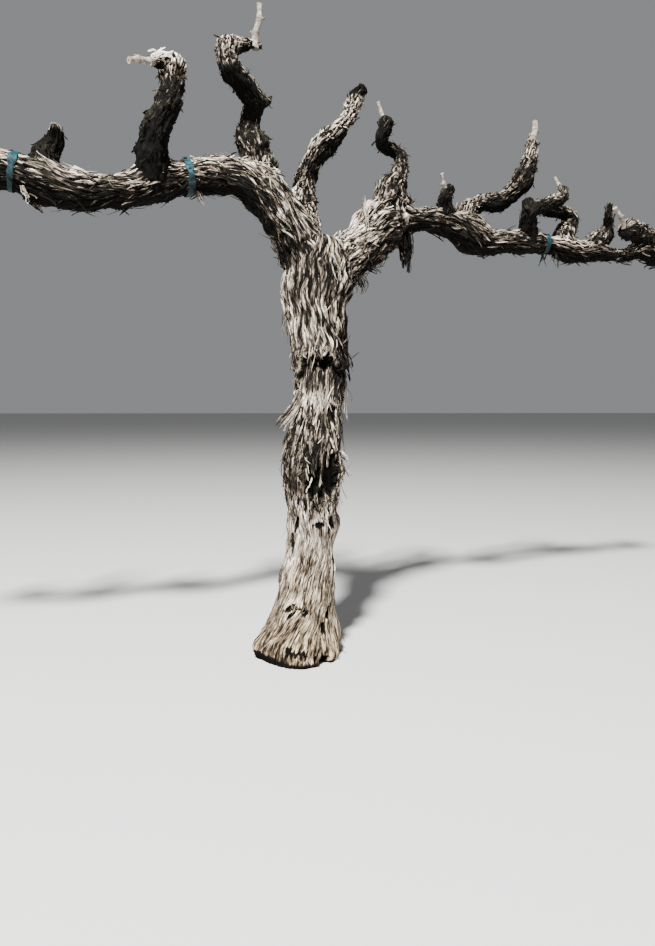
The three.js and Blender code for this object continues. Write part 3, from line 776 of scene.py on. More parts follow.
def skin_mesh(name, grids):
    """One mesh from the grids of a limb, with what the materials and the ribbons need to know."""
    values = {key: [] for key in ("hollow", "tone", "shag", "bleach", "grain", "flow")}
    for grid in grids:
        reach = (3, grid.points.shape[1] // 40 + 3)
        # painted shade: points below their surroundings, and the grid's painted shade, count as hollow,
        # which the material paints dark
        below = (blurred(grid.height, *reach) - grid.height) / grid.shadow_range
        below = below / np.clip(grid.radius[:, None] / THICK_RADIUS, 0.45, 1)
        hollow = np.clip(LEVEL_HOLLOW + (1 - LEVEL_HOLLOW) * below, 0, 1)
        hollow = np.maximum(hollow, grid.dark + 0.25 * (hollow - 0.5) * (grid.dark > 0.1))
        hollow = np.maximum(hollow, CUT_HOLLOW * step_up(0.45, 1, grid.tip) * (grid.bleach < 0.2))
        run = np.empty_like(grid.points)
        run[1:-1] = grid.points[2:] - grid.points[:-2]
        run[0] = run[1]
        run[-1] = run[-2]
        angle = 2 * math.pi * grid.around
        girth = grid.radius.mean()
        grain = np.broadcast_arrays(girth * np.cos(angle), girth * np.sin(angle), grid.along)
        free = (grid.depth > BURIED) & (grid.tip < 0.3) & (grid.along < grid.along.max() - BARE_END)
        values["hollow"].append(hollow)
        values["tone"].append(grid.tone)
        values["shag"].append(grid.loose * free)
        values["bleach"].append(np.broadcast_to(grid.bleach - RIBBON_PAINTED_SHADE * grid.dark, hollow.shape))
        values["grain"].append(np.stack(grain, -1))
        values["flow"].append(unit(blurred_vectors(run)))
    count = len(grids)
    spans = [(i / count, (i + 1) / count) for i in range(count)]
    return joined_grids(name, [grid.points for grid in grids], spans, values)


def blurred_vectors(vectors):
    return np.stack([blurred(vectors[..., axis], 2, 3) for axis in range(3)], -1)


def add_piece(name, mesh, slot, *nodes):
    """Links a finished mesh at the origin, and hides the imported parts that it stands for."""
    piece = bpy.data.objects.new(name, mesh)
    bpy.context.collection.objects.link(piece)
    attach(piece, "root")
    if nodes:
        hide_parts(*nodes)
    return piece


def triangles(mesh):
    return sum(len(face.vertices) - 2 for face in mesh.polygons)


print("a mesh is made by skin_mesh from one or two grids")

# %% [markdown]
# ## Nodes, made the same way everywhere
#
# Materials and geometry trees are both made of nodes. One small helper adds a node, sets it up
# and fills its sockets, either with a value or with a link from another node.

# %% A helper for nodes
def node(tree, kind, inputs=None, **settings):
    made = tree.nodes.new(kind)
    for key, value in settings.items():
        setattr(made, key, value)
    for key, value in (inputs or {}).items():
        if isinstance(value, bpy.types.NodeSocket):
            tree.links.new(value, made.inputs[key])
        else:
            made.inputs[key].default_value = value
    return made


def sums(tree, operation, a, b=0.0, clamp=False):
    made = node(tree, "ShaderNodeMath", {0: a, 1: b}, operation=operation, use_clamp=clamp)
    return made.outputs[0]


def mixed(tree, factor, a, b, blend="MIX"):
    inputs = {0: factor, 6: a, 7: b}
    return node(tree, "ShaderNodeMix", inputs, data_type="RGBA", blend_type=blend).outputs[2]


def ramp(tree, factor, stops):
    """A colour for each value: stops are pairs of a place from 0 to 1 and a colour."""
    made = node(tree, "ShaderNodeValToRGB", {0: factor})
    elements = made.color_ramp.elements
    while len(elements) < len(stops):
        elements.new(0.5)
    for element, (place, colour) in zip(elements, stops):
        element.position = place
        element.color = (*colour, 1)
    return made.outputs[0]


def new_material(name):
    material = bpy.data.materials.new(name)
    material.use_nodes = True
    material.node_tree.nodes.clear()
    return material, material.node_tree


def finish_material(tree, colour, roughness, specular, bump):
    shader = node(
        tree, "ShaderNodeBsdfPrincipled",
        {"Base Color": colour, "Roughness": roughness, "Specular IOR Level": specular, "Normal": bump},
    )
    node(tree, "ShaderNodeOutputMaterial", {"Surface": shader.outputs[0]})


def told(tree, name, output="Fac"):
    """What the mesh says of each point under a name."""
    return node(tree, "ShaderNodeAttribute", attribute_name=name).outputs[output]


def speckle(tree, place, scale, detail):
    inputs = {"Vector": place, "Scale": scale, "Detail": detail}
    return node(tree, "ShaderNodeTexNoise", inputs).outputs[0]


def swing(tree, pattern, gain):
    """How far a pattern lies from its middle value, times a gain."""
    return sums(tree, "MULTIPLY", sums(tree, "SUBTRACT", pattern, 0.5), gain)


def total_of(tree, first, *others):
    for other in others:
        first = sums(tree, "ADD", first, other)
    return first


def slope_up(tree):
    """1 on skin that faces up, and -1 on skin that faces down."""
    normal = node(tree, "ShaderNodeNewGeometry").outputs["Normal"]
    return node(tree, "ShaderNodeSeparateXYZ", {0: normal}).outputs[2]


def falling(tree, value, low, high, top, bottom, **settings):
    """A number that goes from top to bottom while a value goes from low to high."""
    inputs = {0: value, 1: low, 2: high, 3: top, 4: bottom}
    return node(tree, "ShaderNodeMapRange", inputs, **settings).outputs[0]


def bumped(tree, height, strength, distance):
    inputs = {"Strength": strength, "Distance": distance, "Height": height}
    return node(tree, "ShaderNodeBump", inputs).outputs[0]


print("node helpers are ready")

# %% [markdown]
# ## The bark's finish
#
# Weathered vine bark is silver in places and brown where it is fresh, and its cracks are given
# painted shade, almost black. The colour could come from noise alone, but then light and dark would
# miss the ribbons. So the mesh carries what it knows: how hollow each point is, which sets the
# painted shade, each ribbon's own tone, how much paler or darker its place is, partly its own colour
# and partly painted light and shade, and where the grain runs. The fibres are noise stretched along
# that grain.

# %% Make the bark material
FIBRE_GRAIN = (1 / 0.0021, 1 / 0.0021, 1 / 0.021)  # cells for each metre across and along the grain
STRAND_GRAIN = (1 / 0.0065, 1 / 0.0065, 1 / 0.06)
PATCH_SIZE = 0.07  # in metres, as all sizes of patterns are
MOSS_SIZE = 1 / 24
BARK_TONES = [
    (0.0, (0.0035, 0.003, 0.0024)), (0.22, (0.030, 0.023, 0.017)), (0.45, (0.140, 0.112, 0.086)),
    (0.7, (0.400, 0.348, 0.282)), (1.0, (0.800, 0.735, 0.640)),
]
# painted shade: the near-black that the most hollow places are painted
CRACK_SHADE_COLOUR = (0.0016, 0.0013, 0.001, 1)
MOSS_COLOUR = (0.095, 0.100, 0.050, 1)
DUST_TOP = 0.30  # splashed soil warms the bark up to this height, in metres
DUST_TINT = (1.0, 0.90, 0.72, 1)


def along_grain(tree, grain, cells, detail, roughness=0.6):
    stretched = node(tree, "ShaderNodeVectorMath", {0: grain, 1: cells}, operation="MULTIPLY")
    inputs = {"Vector": stretched.outputs[0], "Scale": 1.0, "Detail": detail, "Roughness": roughness}
    return node(tree, "ShaderNodeTexNoise", inputs).outputs[0]


def make_bark_material(name, brightness, tones, moss):
    material, tree = new_material(name)
    grain = told(tree, "grain", "Vector")
    hollow = told(tree, "hollow")
    place = node(tree, "ShaderNodeTexCoord").outputs["Object"]
    fibre = along_grain(tree, grain, FIBRE_GRAIN, 3.0, 0.7)
    strand = along_grain(tree, grain, STRAND_GRAIN, 2.0)
    patch = speckle(tree, place, 1 / PATCH_SIZE, 3.0)
    # lightness from tone, fibres and patches, lowered by hollowness as painted shade
    light = total_of(
        tree, sums(tree, "MULTIPLY", told(tree, "tone"), tones), swing(tree, fibre, 2.5),
        swing(tree, strand, 0.9), swing(tree, patch, 0.8), sums(tree, "MULTIPLY", hollow, -0.75),
    )
    # the place's paleness: partly its own tone, partly painted light and shade
    light = sums(tree, "ADD", light, sums(tree, "ADD", told(tree, "bleach"), brightness), clamp=True)
    colour = ramp(tree, light, BARK_TONES)
    above_ground = node(tree, "ShaderNodeSeparateXYZ", {0: place}).outputs[2]
    dusty = falling(tree, above_ground, 0.0, DUST_TOP, 1.0, 0.0)
    colour = mixed(tree, dusty, colour, mixed(tree, 1.0, colour, DUST_TINT, "MULTIPLY"))
    mossy = sums(tree, "SUBTRACT", speckle(tree, place, 1 / MOSS_SIZE, 4.0), 0.5, clamp=True)
    mossy = sums(tree, "MULTIPLY", mossy, 5.0, clamp=True)
    shaded = sums(tree, "MULTIPLY", sums(tree, "ADD", slope_up(tree), 0.35, clamp=True), moss)
    colour = mixed(tree, sums(tree, "MULTIPLY", mossy, shaded), colour, MOSS_COLOUR)
    # painted shade: the more hollow a place is, the nearer it is painted to near-black
    deep = falling(tree, hollow, 0.42, 0.80, 0.0, 0.98, interpolation_type="SMOOTHSTEP")
    colour = mixed(tree, deep, colour, CRACK_SHADE_COLOUR)
    height = sums(tree, "ADD", fibre, sums(tree, "MULTIPLY", strand, 1.5))
    finish_material(tree, colour, 0.88, 0.06, bumped(tree, height, 0.75, 0.0012))
    return material


bark_finish = make_bark_material("bark", brightness=0.22, tones=0.42, moss=0.12)
limb_finish = make_bark_material("bark_of_limbs", brightness=0.14, tones=0.48, moss=0.14)
print("materials:", bark_finish.name, limb_finish.name)

# %% [markdown]
# ## The trunk
#
# The trunk stands on a flared foot, is tight and finely fibred above it, tangled and torn at half
# height, smooth in a narrow waist, and shaggy again below the fork, where a skirt of old bark ends
# in the air over the waist. One rule makes the ribbons everywhere, and a table tells how loose they
# are at each height. The skirt, the torn foot, the hollows and the cracks are cut into the same
# skin, so the trunk stays a single closed mesh.

# %% Shape the trunk's bark
TRUNK_COLUMNS = 352
TRUNK_STEP = 3.5 * MM
TRUNK_TWIST = 0.10  # turns of the grain for each metre
HOLLOW_SHADE = 0.4
TRUNK_SHADOW = 3.0 * MM  # a point this far below its surroundings is in full shadow
# By height: how loose the bark is, from 0 to 1, and how much paler or darker than its middle tone.
TRUNK_LOOSE = [
    (0, 0.35), (60, 0.2), (130, 0.06), (280, 0.10), (345, 0.7), (520, 0.75), (560, 0.5), (586, 0.15),
    (622, 0.15), (642, 0.8), (760, 0.8), (870, 0.9),
]
TRUNK_PALENESS = [
    (0, 0.0), (60, 0.18), (140, 0.28), (270, 0.27), (350, 0.02), (400, -0.10), (480, -0.06), (560, 0.14),
    (605, 0.15), (640, 0.0), (690, 0.06), (760, 0.06), (800, -0.02), (850, -0.10), (900, -0.06),
]
SKIRT_HEIGHT = 636
SKIRT_OUT = 6
SKIRT_FADE = 75
SKIRT_WAVES = [{"count": 3, "rise": 8, "phase": 1}, {"count": 7, "rise": 5, "phase": 0}]
SKIRT_RAGGED = 15
SKIRT_SHADE = 8  # how far its shadow reaches below its edge
WAIST_IN = 5
WAIST_FADE = 42
LIP_HEIGHT = 17  # the foot curls under itself below this height
LIP_RAGGED = 12
LIP_IN = 13
# Places on the trunk: the angle that they face, their height and half their extent, in degrees and
# millimetres, then how deep they are and how black they are painted as shade. A tilt leans a crack
# across the grain.
HOLLOWS = table(
    "angle height half_angle half_height depth dark",
    (290, 402, 34, 60, 16, 1.0),
    (290, 4, 16, 34, 28, 1.0),
    (60, 250, 15, 60, 10, 0.8),
    (246, 638, 42, 19, 10, 1.0),
    (230, 427, 16, 22, 7, 0.7),
    (248, 384, 15, 30, 9, 0.75),
    (190, 497, 13, 52, 7, 0.3),
    (288, 530, 16, 26, 7, 0.5),
    (206, 306, 13, 24, 6, 0.3),
    (301, 296, 16, 18, 6, 0.7),
)
CRACKS = table(
    "angle height half_angle half_height depth tilt",
    (227, 427, 9, 13, 4),
    (241, 387, 4, 24, 4),
    (252, 381, 4, 26, 4),
    (190, 497, 4, 54, 4),
    (178, 588, 9, 10, 5),
    (207, 306, 5, 26, 4),
    (196, 262, 6, 20, 5),
    (262, 302, 14, 6, 4),
    (314, 220, 5, 70, 4),
    (221, 118, 7, 11, 6, -1.3),
    (229, 108, 4, 14, 4, -1.6),
    (242, 121, 12, 5, 4, 0.8),
    (252, 112, 5, 9, 4, -1.0),
    (288, 80, 9, 15, 7),
    (304, 118, 8, 20, 7),
)
CRACK_RAGGED = 0.8
# Patches made paler or darker by their last value. The darkening of the trunk's right side below the fork is
# painted shade; the pale band and the smooth patch are the bark's own colour, and the others are only
# darker.
TONE_AND_SHADE_PATCHES = table(
    "angle height half_angle half_height bleach",
    (238, 606, 32, 36, -0.22),
    (240, 556, 40, 28, 0.36),
    (268, 512, 22, 22, -0.20),
    (218, 415, 44, 78, -0.14),
    (254, 425, 28, 66, -0.34),
    (318, 660, 46, 160, -0.42),
)
ZIGZAG = {"angles": (232, 260), "height": 30, "rise": 6, "teeth": 5, "half_height": 8, "depth": 5}


def turn_from(angle, middle):
    """How many degrees an angle lies past a middle one, between -180 and 180."""
    return (np.degrees(angle) - middle + 180) % 360 - 180


def trunk_at(height):
    """The trunk's middle, x and y, and its radius at a height, all in millimetres."""
    x, y, z, radius = np.array(TRUNK, float).T
    return [np.interp(height, z, values) for values in (x, y, radius)]


def hollow_share(hole, angle, height, ragged):
    """1 on a hollow's floor and 0 outside its rim, which ragged moves in and out."""
    up = (height - hole["height"]) / hole["half_height"]
    across = turn_from(angle, hole["angle"]) / hole["half_angle"] + hole.get("tilt", 0) * up
    away = np.hypot(across, up) + ragged
    return 1 - step_up(0.5, 1.0, away)


def zigzag_share(angle, height, ragged):
    """1 in the zigzag tear across the foot, and 0 beside it."""
    first, last = ZIGZAG["angles"]
    place = (turn_from(angle, first) + 3 * ragged) / (last - first)
    tooth = np.abs((place * ZIGZAG["teeth"]) % 1 - 0.5) * 4 - 1
    away = np.abs(height - ZIGZAG["height"] - ZIGZAG["rise"] * tooth) / ZIGZAG["half_height"] + ragged
    return (1 - step_up(0.5, 1.0, away)) * (place > 0) * (place < 1)


def trunk_forms(angle, height, ragged_edge=0.0, ragged_rim=0.0):
    """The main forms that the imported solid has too: knuckles, skirt, waist and hollows."""
    x, y, radius = trunk_at(height)
    skin = np.broadcast_arrays(x + radius * np.cos(angle), y + radius * np.sin(angle), height)
    edge = SKIRT_HEIGHT + SKIRT_RAGGED * ragged_edge
    for wave in SKIRT_WAVES:
        edge = edge + wave["rise"] * np.sin(wave["count"] * angle + wave["phase"])
    over = height - edge
    skirt = SKIRT_OUT * np.exp(-np.abs(over) / SKIRT_FADE)
    waist = -WAIST_IN * np.exp(-np.abs(over) / WAIST_FADE)
    lift = KNUCKLE_HEIGHT * waves(np.stack(skin, -1), KNUCKLES) + np.where(over > 0, skirt, waist)
    # painted shadow below the skirt's edge
    dark = 0.9 * np.exp(-np.clip(-over, 0, None) / SKIRT_SHADE) * (over < 0)
    for hole in HOLLOWS:
        inside = hollow_share(hole, angle, height, ragged_rim)
        lift = lift - hole["depth"] * inside
        # painted shade in each hollow
        dark = np.maximum(dark, hole["dark"] * inside)
    return lift, dark


def trunk_features(around, angle, height):
    """All that is added to the bark's height, in millimetres, and the painted shade it puts at each place.
    """
    ragged = noise(around * 34, 0 * height, 34, 51) + 0.6 * noise(around * 90, 0 * height, 90, 52) - 0.8
    rim = CRACK_RAGGED * (noise(around * 60, height / 26, 60, 53) - 0.5)
    rim = rim + 0.6 * CRACK_RAGGED * (noise(around * 150, height / 7, 150, 54) - 0.5)
    total, dark = trunk_forms(angle, height, ragged, rim)
    under = np.clip(1 - height / (LIP_HEIGHT + LIP_RAGGED * ragged), 0, 1)
    total = total - LIP_IN * (1 - np.sqrt(1 - under**2))
    # painted shade under the foot's curled lip
    dark = np.maximum(dark, 0.8 * step_up(0.4, 0.9, under))
    tears = [(crack["depth"], hollow_share(crack, angle, height, rim)) for crack in CRACKS]
    tears.append((ZIGZAG["depth"], zigzag_share(angle, height, rim)))
    # cracks and the zigzag tear are cut in and filled with painted shade
    for depth, inside in tears:
        total = total - depth * inside
        dark = np.maximum(dark, 0.85 * inside)
    shade = sum(spot["bleach"] * hollow_share(spot, angle, height, rim) for spot in TONE_AND_SHADE_PATCHES)
    return total, np.clip(dark, 0, 1), shade


# %% The grain of the trunk
FINE_LAYERS = table(
    LAYER_FIELDS,
    (3.6, 60, 1.6, 0.8, 0.6, 0.5, 0.02, 11),
    (5.5, 80, 0.8, 1.7, 0.6, 0.4, -0.03, 23),
)
TANGLED_LAYERS = table(
    LAYER_FIELDS,
    (4.4, 38, 1.6, 1.0, 1.0, 0.8, 0.05, 11),
    (7, 46, 0.6, 2.6, 1.4, 1.0, -0.22, 23),
    (4.2, 30, 0.5, 4.2, 1.6, 0.6, 0.26, 37),
)
PLATE_LAYERS = table(
    LAYER_FIELDS,
    (4.4, 48, 1.6, 1.0, 0.9, 0.7, 0.03, 11),
    (8.5, 66, 0.66, 2.9, 1.3, 1.1, -0.1, 23),
    (4.6, 44, 0.45, 4.4, 1.5, 0.6, 0.16, 37),
)
FOOT_TOP = (70, 112)  # between these heights the foot's grain gives way to the stem's
STEM_TOP = (296, 330)
PLATES_FROM = (600, 640)
FOOT_MEAN_RADIUS = 88 * MM
STEM_MEAN_RADIUS = 56 * MM
FINE_TONES = 0.5  # how much the tones of fine fibres differ, beside those of ribbons
SMOOTH_PATCH = {"angle": 238, "height": 606, "half_angle": 26, "half_height": 32}
CREASED_PATCH = {"angle": 226, "height": 392, "half_angle": 40, "half_height": 40}
TRUNK_LUMPS = 0.4  # how high the trunk's lumps are beside those of other limbs
CREASE_DEPTH = 4.5
CREASE_SIZE = 8  # height of a crease; they run round the trunk for a seventh of a turn
KNOTS = table(
    "angle height size",
    (232, 118, 17),
    (288, 76, 12),
    (262, 500, 12),
    (214, 700, 13),
    (40, 160, 16),
    (110, 430, 15),
)
KNOT_PUSH = 0.8
SWEEP = {"angle": 240, "half_angle": 50, "top": 140, "bottom": 20, "turn": 26}


def led_round(angle, height, radius):
    """The columns' angle after the grain has been led round the knots and swept down the foot."""
    bent = angle
    for knot in KNOTS:
        side = np.radians(turn_from(angle, knot["angle"])) * radius / MM
        square = side**2 + (height - knot["height"]) ** 2
        share = knot["size"] ** 2 / (square + knot["size"] ** 2)
        bent = bent + KNOT_PUSH * share**2 * side * MM / radius
    facing = np.exp(-((turn_from(angle, SWEEP["angle"]) / SWEEP["half_angle"]) ** 2))
    low = 1 - step_up(SWEEP["bottom"], SWEEP["top"], height)
    return bent - math.radians(SWEEP["turn"]) * facing * low


def trunk_relief(around, along, above, radius, loose, smooth):
    """Fine fibres low down and on the waist's smooth patch, a tangle in the middle, plates on top."""
    border = 40 * (noise(around * 30, above / 24, 30, 81) - 0.5)
    border = border + 20 * (noise(around * 9, above / 60, 9, 82) - 0.5)
    on_foot = 1 - step_up(*FOOT_TOP, above + border)
    tangled = step_up(*STEM_TOP, above + border) * (1 - smooth)
    plated = tangled * step_up(*PLATES_FROM, above)
    tangled = tangled - plated
    kinds = [
        (on_foot, FOOT_MEAN_RADIUS, 83, FINE_LAYERS, FINE_TONES),
        (1 - on_foot - tangled - plated, STEM_MEAN_RADIUS, 73, FINE_LAYERS, FINE_TONES),
        (tangled, STEM_MEAN_RADIUS, 93, TANGLED_LAYERS, 1),
        (plated, STEM_MEAN_RADIUS, 113, PLATE_LAYERS, 1),
    ]
    height, tone = 0, 0
    for share, girth, seed, layers, tones in kinds:
        own_height, own_tone = bark_relief(around, along, np.full_like(radius, girth), seed, loose, layers)
        height = height + share * own_height
        tone = tone + share * (0.5 + tones * (own_tone - 0.5))
    return height, tone


def trunk_grid():
    rings = rings_along(TRUNK, TRUNK_STEP, start=length_to_ground(TRUNK), start_cap=False)
    girth = rings.radius[:, None]
    shrink = rings.shrink[:, None]
    around = np.arange(TRUNK_COLUMNS)[None, :] / TRUNK_COLUMNS
    along = rings.along[:, None] - rings.along[0]
    above = np.maximum(0, rings.centre[:, 2])[:, None] / MM
    waver = grain_waver(around, along, 71) * (0.4 + 0.6 * step_up(0, 120, above))
    angle = led_round(2 * math.pi * (around + TRUNK_TWIST * along + waver), above, girth)
    outward = turned_from(rings.side[:, None], rings.across[:, None], angle)
    ragged = 0.4 * (noise(around * 40, above / 16, 40, 75) - 0.5)
    creased = 0.85 * hollow_share(CREASED_PATCH, angle, above, ragged)
    smooth = np.maximum(hollow_share(SMOOTH_PATCH, angle, above, ragged), creased)
    loose = by_height(above, TRUNK_LOOSE) + 0.4 * (noise(around * 4, above / 130, 4, 72) - 0.5)
    loose = np.clip(loose, 0, 1) * (1 - smooth)
    height, tone = trunk_relief(around, along, above, girth, loose, smooth)
    creases = noise(around * 7, above / CREASE_SIZE, 7, 91) - 0.5
    height = height * (0.6 + 0.4 * loose) + CREASE_DEPTH * MM * creases * creased
    extra, dark, shade = trunk_features(around, angle, above)
    extra = extra * MM
    radius = girth * trunk_profile(angle, above)
    points = rings.centre[:, None] + outward * (radius * shrink)[..., None]
    small = LUMPS[1]
    lumps = TRUNK_LUMPS * small["height"] * girth * noise_in_space(points, small["size"], 105)
    points, depth = collars(points, outward, radius, "trunk", 0)
    points = points + outward * ((lumps + height + extra) * shrink)[..., None]
    points[..., 2] = np.maximum(points[..., 2], 0)
    points[0, :, 2] = 0
    return SimpleNamespace(
        points=points, height=height + extra - dark * TRUNK_SHADOW, tone=tone, depth=depth,
        loose=loose * (1 - dark), radius=rings.radius, around=around, along=along,
        tip=1 - shrink, dark=0.92 * dark, shadow_range=TRUNK_SHADOW * (2.2 - 1.2 * loose),
        bleach=by_height(above, TRUNK_PALENESS) + shade - HOLLOW_SHADE * dark,
    )


trunk_mesh = skin_mesh("bark_trunk", [trunk_grid()])
trunk_mesh.materials.append(bark_finish)
add_piece("bark_trunk", trunk_mesh, "bark", "trunk")
print("trunk:", triangles(trunk_mesh), "triangles")

# %% [markdown]
# ## The arms
#
# Each arm is one limb on the real plant, so it is one mesh here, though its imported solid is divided
# at the bends. Thick at the fork and thin at the tip, it has the same ribbons, only narrower.

# %% Grow the arms
ARM_PALENESS = -0.17
INNER_REACH = (0.16, 0.30)  # the first stretch of each arm, in metres along it, has its own paleness, partly its own colour and partly painted light
INNER_PALENESS = {"left": 0.17, "right": 0.20}
INNER_PAINTED_SHADE = {"left": 0.45, "right": 0.25}  # how much of the painted underside shade that stretch keeps, beside the rest

arm_grids = {}
for side, knees, seed in (("left", ARM_LEFT, 101), ("right", ARM_RIGHT, 211)):
    arm_grids[side] = limb_grid(f"arm_{side}", knees, seed, **ARM_SKIN)
    inner = 1 - step_up(*INNER_REACH, arm_grids[side].along)
    arm_grids[side].bleach += ARM_PALENESS + INNER_PALENESS[side] * inner
    arm_grids[side].dark *= 1 - (1 - INNER_PAINTED_SHADE[side]) * inner
    arm_mesh = skin_mesh(f"bark_arm_{side}", [arm_grids[side]])
    arm_mesh.materials.append(limb_finish)
    nodes = [f"cordon_{side}_{part}" for part in ARM_PIECES]
    add_piece(f"bark_arm_{side}", arm_mesh, "bark", *nodes)
    print(f"{side} arm:", triangles(arm_mesh), "triangles")

# %% [markdown]
# ## The spurs
#
# A spur is many years of short pruning, so it zigzags and is knobbly. A spur that divides is made
# of two skins in one mesh, the side head growing out of the stem.

# %% Grow the spurs
# How much paler a spur is than its bark's middle tone, by height on the plant in millimetres. The
# darkest tints, as at the foot of spur_left_2, are painted shadow.
SPUR_TINTS = {
    "spur_centre": [(950, 0.05), (1010, 0.0), (1060, -0.15), (1190, 0.08), (1206, -0.1), (1212, -0.7)],
    "spur_left_1": [(1000, -0.1), (1080, -0.32), (1180, -0.32), (1235, -0.25), (1280, -0.05)],
    "spur_left_2": [(1000, -0.8), (1060, -0.75), (1090, -0.5), (1150, -0.42), (1182, -0.28), (1204, 0.25)],
    "spur_left_3": [(985, -0.1), (1010, -0.55), (1048, -0.55), (1058, 0.1)],
    "spur_right_1": [(1000, 0.0), (1040, -0.1), (1080, -0.4), (1160, -0.45)],
    "spur_right_2": [(960, -0.5), (1036, -0.5)],
    "spur_right_3": [(1000, -0.25), (1100, -0.3), (1140, 0.0)],
    "spur_right_4": [(960, -0.7), (1020, -0.6), (1050, -0.3)],
}
OTHER_TINTS = [(1000, -0.28), (1150, -0.15)]
PAINTED_SHADOW_FROM = 0.3  # a tint darker than this also gets painted black shadow
PAINTED_SHADOW_GAIN = 1.6

spur_meshes = {}
for number, (name, lines) in enumerate(SPURS.items()):
    grids = [
        limb_grid(name, knees, 307 + 20 * number + line, line, **SPUR_SKIN)
        for line, knees in enumerate(lines)
    ]
    for grid in grids:
        tint = by_height(grid.points[..., 2] / MM, SPUR_TINTS.get(name, OTHER_TINTS))
        grid.bleach = grid.bleach + tint
        grid.dark = np.maximum(grid.dark, PAINTED_SHADOW_GAIN * np.clip(-tint - PAINTED_SHADOW_FROM, 0, 0.5))
    spur_meshes[name] = skin_mesh("bark_" + name, grids)
    spur_meshes[name].materials.append(limb_finish)
    add_piece("bark_" + name, spur_meshes[name], "bark", name)
print("spurs:", sum(triangles(mesh) for mesh in spur_meshes.values()), "triangles")

# %% [markdown]
# ## Loose ribbons of bark
#
# Old bark hangs off the limbs in thousands of thin, torn ribbons, and they are what makes a vine's
# outline ragged. Each could be a particle hair, but hair has no width and doesn't export. Here a
# ribbon is a thin closed strip of some twenty faces: four sides round, a few lengths along, wide
# near its root and torn to a point. A dozen different ones are made, to be strewn over the limbs.

# %% One ribbon
RIBBON_LENGTHS = 5
RIBBON_SIDES = 4
RIBBON_THICK = 0.5  # in units of its lift, which Geometry Nodes sets later
RIBBON_KINDS = 12
STRAY = 0.35  # how far a ribbon's direction may leave the grain's


def ribbon_faces(lengths):
    """The strip's four-sided faces, and for each corner its place on a map from 0 to 1."""
    faces, places = [], []
    for i in range(lengths):
        for k in range(RIBBON_SIDES):
            after = (k + 1) % RIBBON_SIDES
            low, high = i * RIBBON_SIDES, (i + 1) * RIBBON_SIDES
            faces.append((low + k, low + after, high + after, high + k))
            u0, u1 = 0.05 + 0.9 * i / lengths, 0.05 + 0.9 * (i + 1) / lengths
            v0, v1 = k / RIBBON_SIDES, (k + 1) / RIBBON_SIDES
            places.append(((u0, v0), (u0, v1), (u1, v1), (u1, v0)))
    end = lengths * RIBBON_SIDES
    faces.append((3, 2, 1, 0))
    faces.append((end, end + 1, end + 2, end + 3))
    places.append(((0, 0), (0.04, 0), (0.04, 0.2), (0, 0.2)))
    places.append(((0.96, 0), (1, 0), (1, 0.2), (0.96, 0.2)))
    return np.array(faces), np.array(places)


def ribbon_points(course, aside, above, widths, thick):
    """Points of a strip whose middle follows course, with half a width to either side."""
    half = widths[:, None] / 2
    raised = np.broadcast_to(thick, widths.shape)[:, None] / 2
    left = course - aside * half
    right = course + aside * half
    return np.stack([left, course - above * raised, right, course + above * raised], 1).reshape(-1, 3)


def ribbon_kind(number):
    """A ribbon one unit long and wide, lying along X, with its free end lifted up to one unit."""
    u = np.linspace(0, 1, RIBBON_LENGTHS + 1)
    row = np.arange(RIBBON_LENGTHS + 1)
    bend = 0.2 + 1.4 * chance(number, 0, 501)
    rise = u ** (1.4 + 2.0 * chance(number, 1, 501)) - 0.35 * (1 - u) ** 2
    rise = rise + 0.3 * (chance(row, number, 502) - 0.5) * u
    curl = np.where(chance(number, 2, 501) < 0.3, 0.6 * u**4, 0)
    course = np.stack([u - 0.35 * curl, bend * np.sin(3 * u + 6 * chance(number, 3, 501)), rise + curl], 1)
    widths = 0.6 + 0.7 * chance(row, number, 503)
    widths[-1] = 0.2 + 0.7 * chance(number, 4, 501)
    roll = 0.9 * (chance(number, 5, 501) - 0.5) + 1.4 * (chance(number, 6, 501) - 0.5) * u
    aside = np.stack([0 * u, np.cos(roll), np.sin(roll)], 1)
    above = np.stack([0 * u, -np.sin(roll), np.cos(roll)], 1)
    return ribbon_points(course, aside, above, widths, RIBBON_THICK * (1 - 0.6 * u))


strip_faces, _ = ribbon_faces(RIBBON_LENGTHS)
kinds = bpy.data.collections.new("ribbon_kinds")
for number in range(RIBBON_KINDS):
    kind_mesh = bpy.data.meshes.new("ribbon_kind")
    kind_mesh.from_pydata(ribbon_kind(number).tolist(), [], strip_faces.tolist())
    kinds.objects.link(bpy.data.objects.new("ribbon_kind", kind_mesh))
print(RIBBON_KINDS, "ribbons of", len(strip_faces), "faces")

# %% [markdown]
# ## Strewing the ribbons
#
# Geometry Nodes strew the ribbons over a limb: more where its bark is loose, none where it is
# buried in another limb. Each ribbon is turned to lie along the grain with its back to the limb.
# On a level limb gravity pulls the free end down. Widths, lengths and lifts vary round named
# inputs, so one tree serves the trunk, the arms and the spurs.

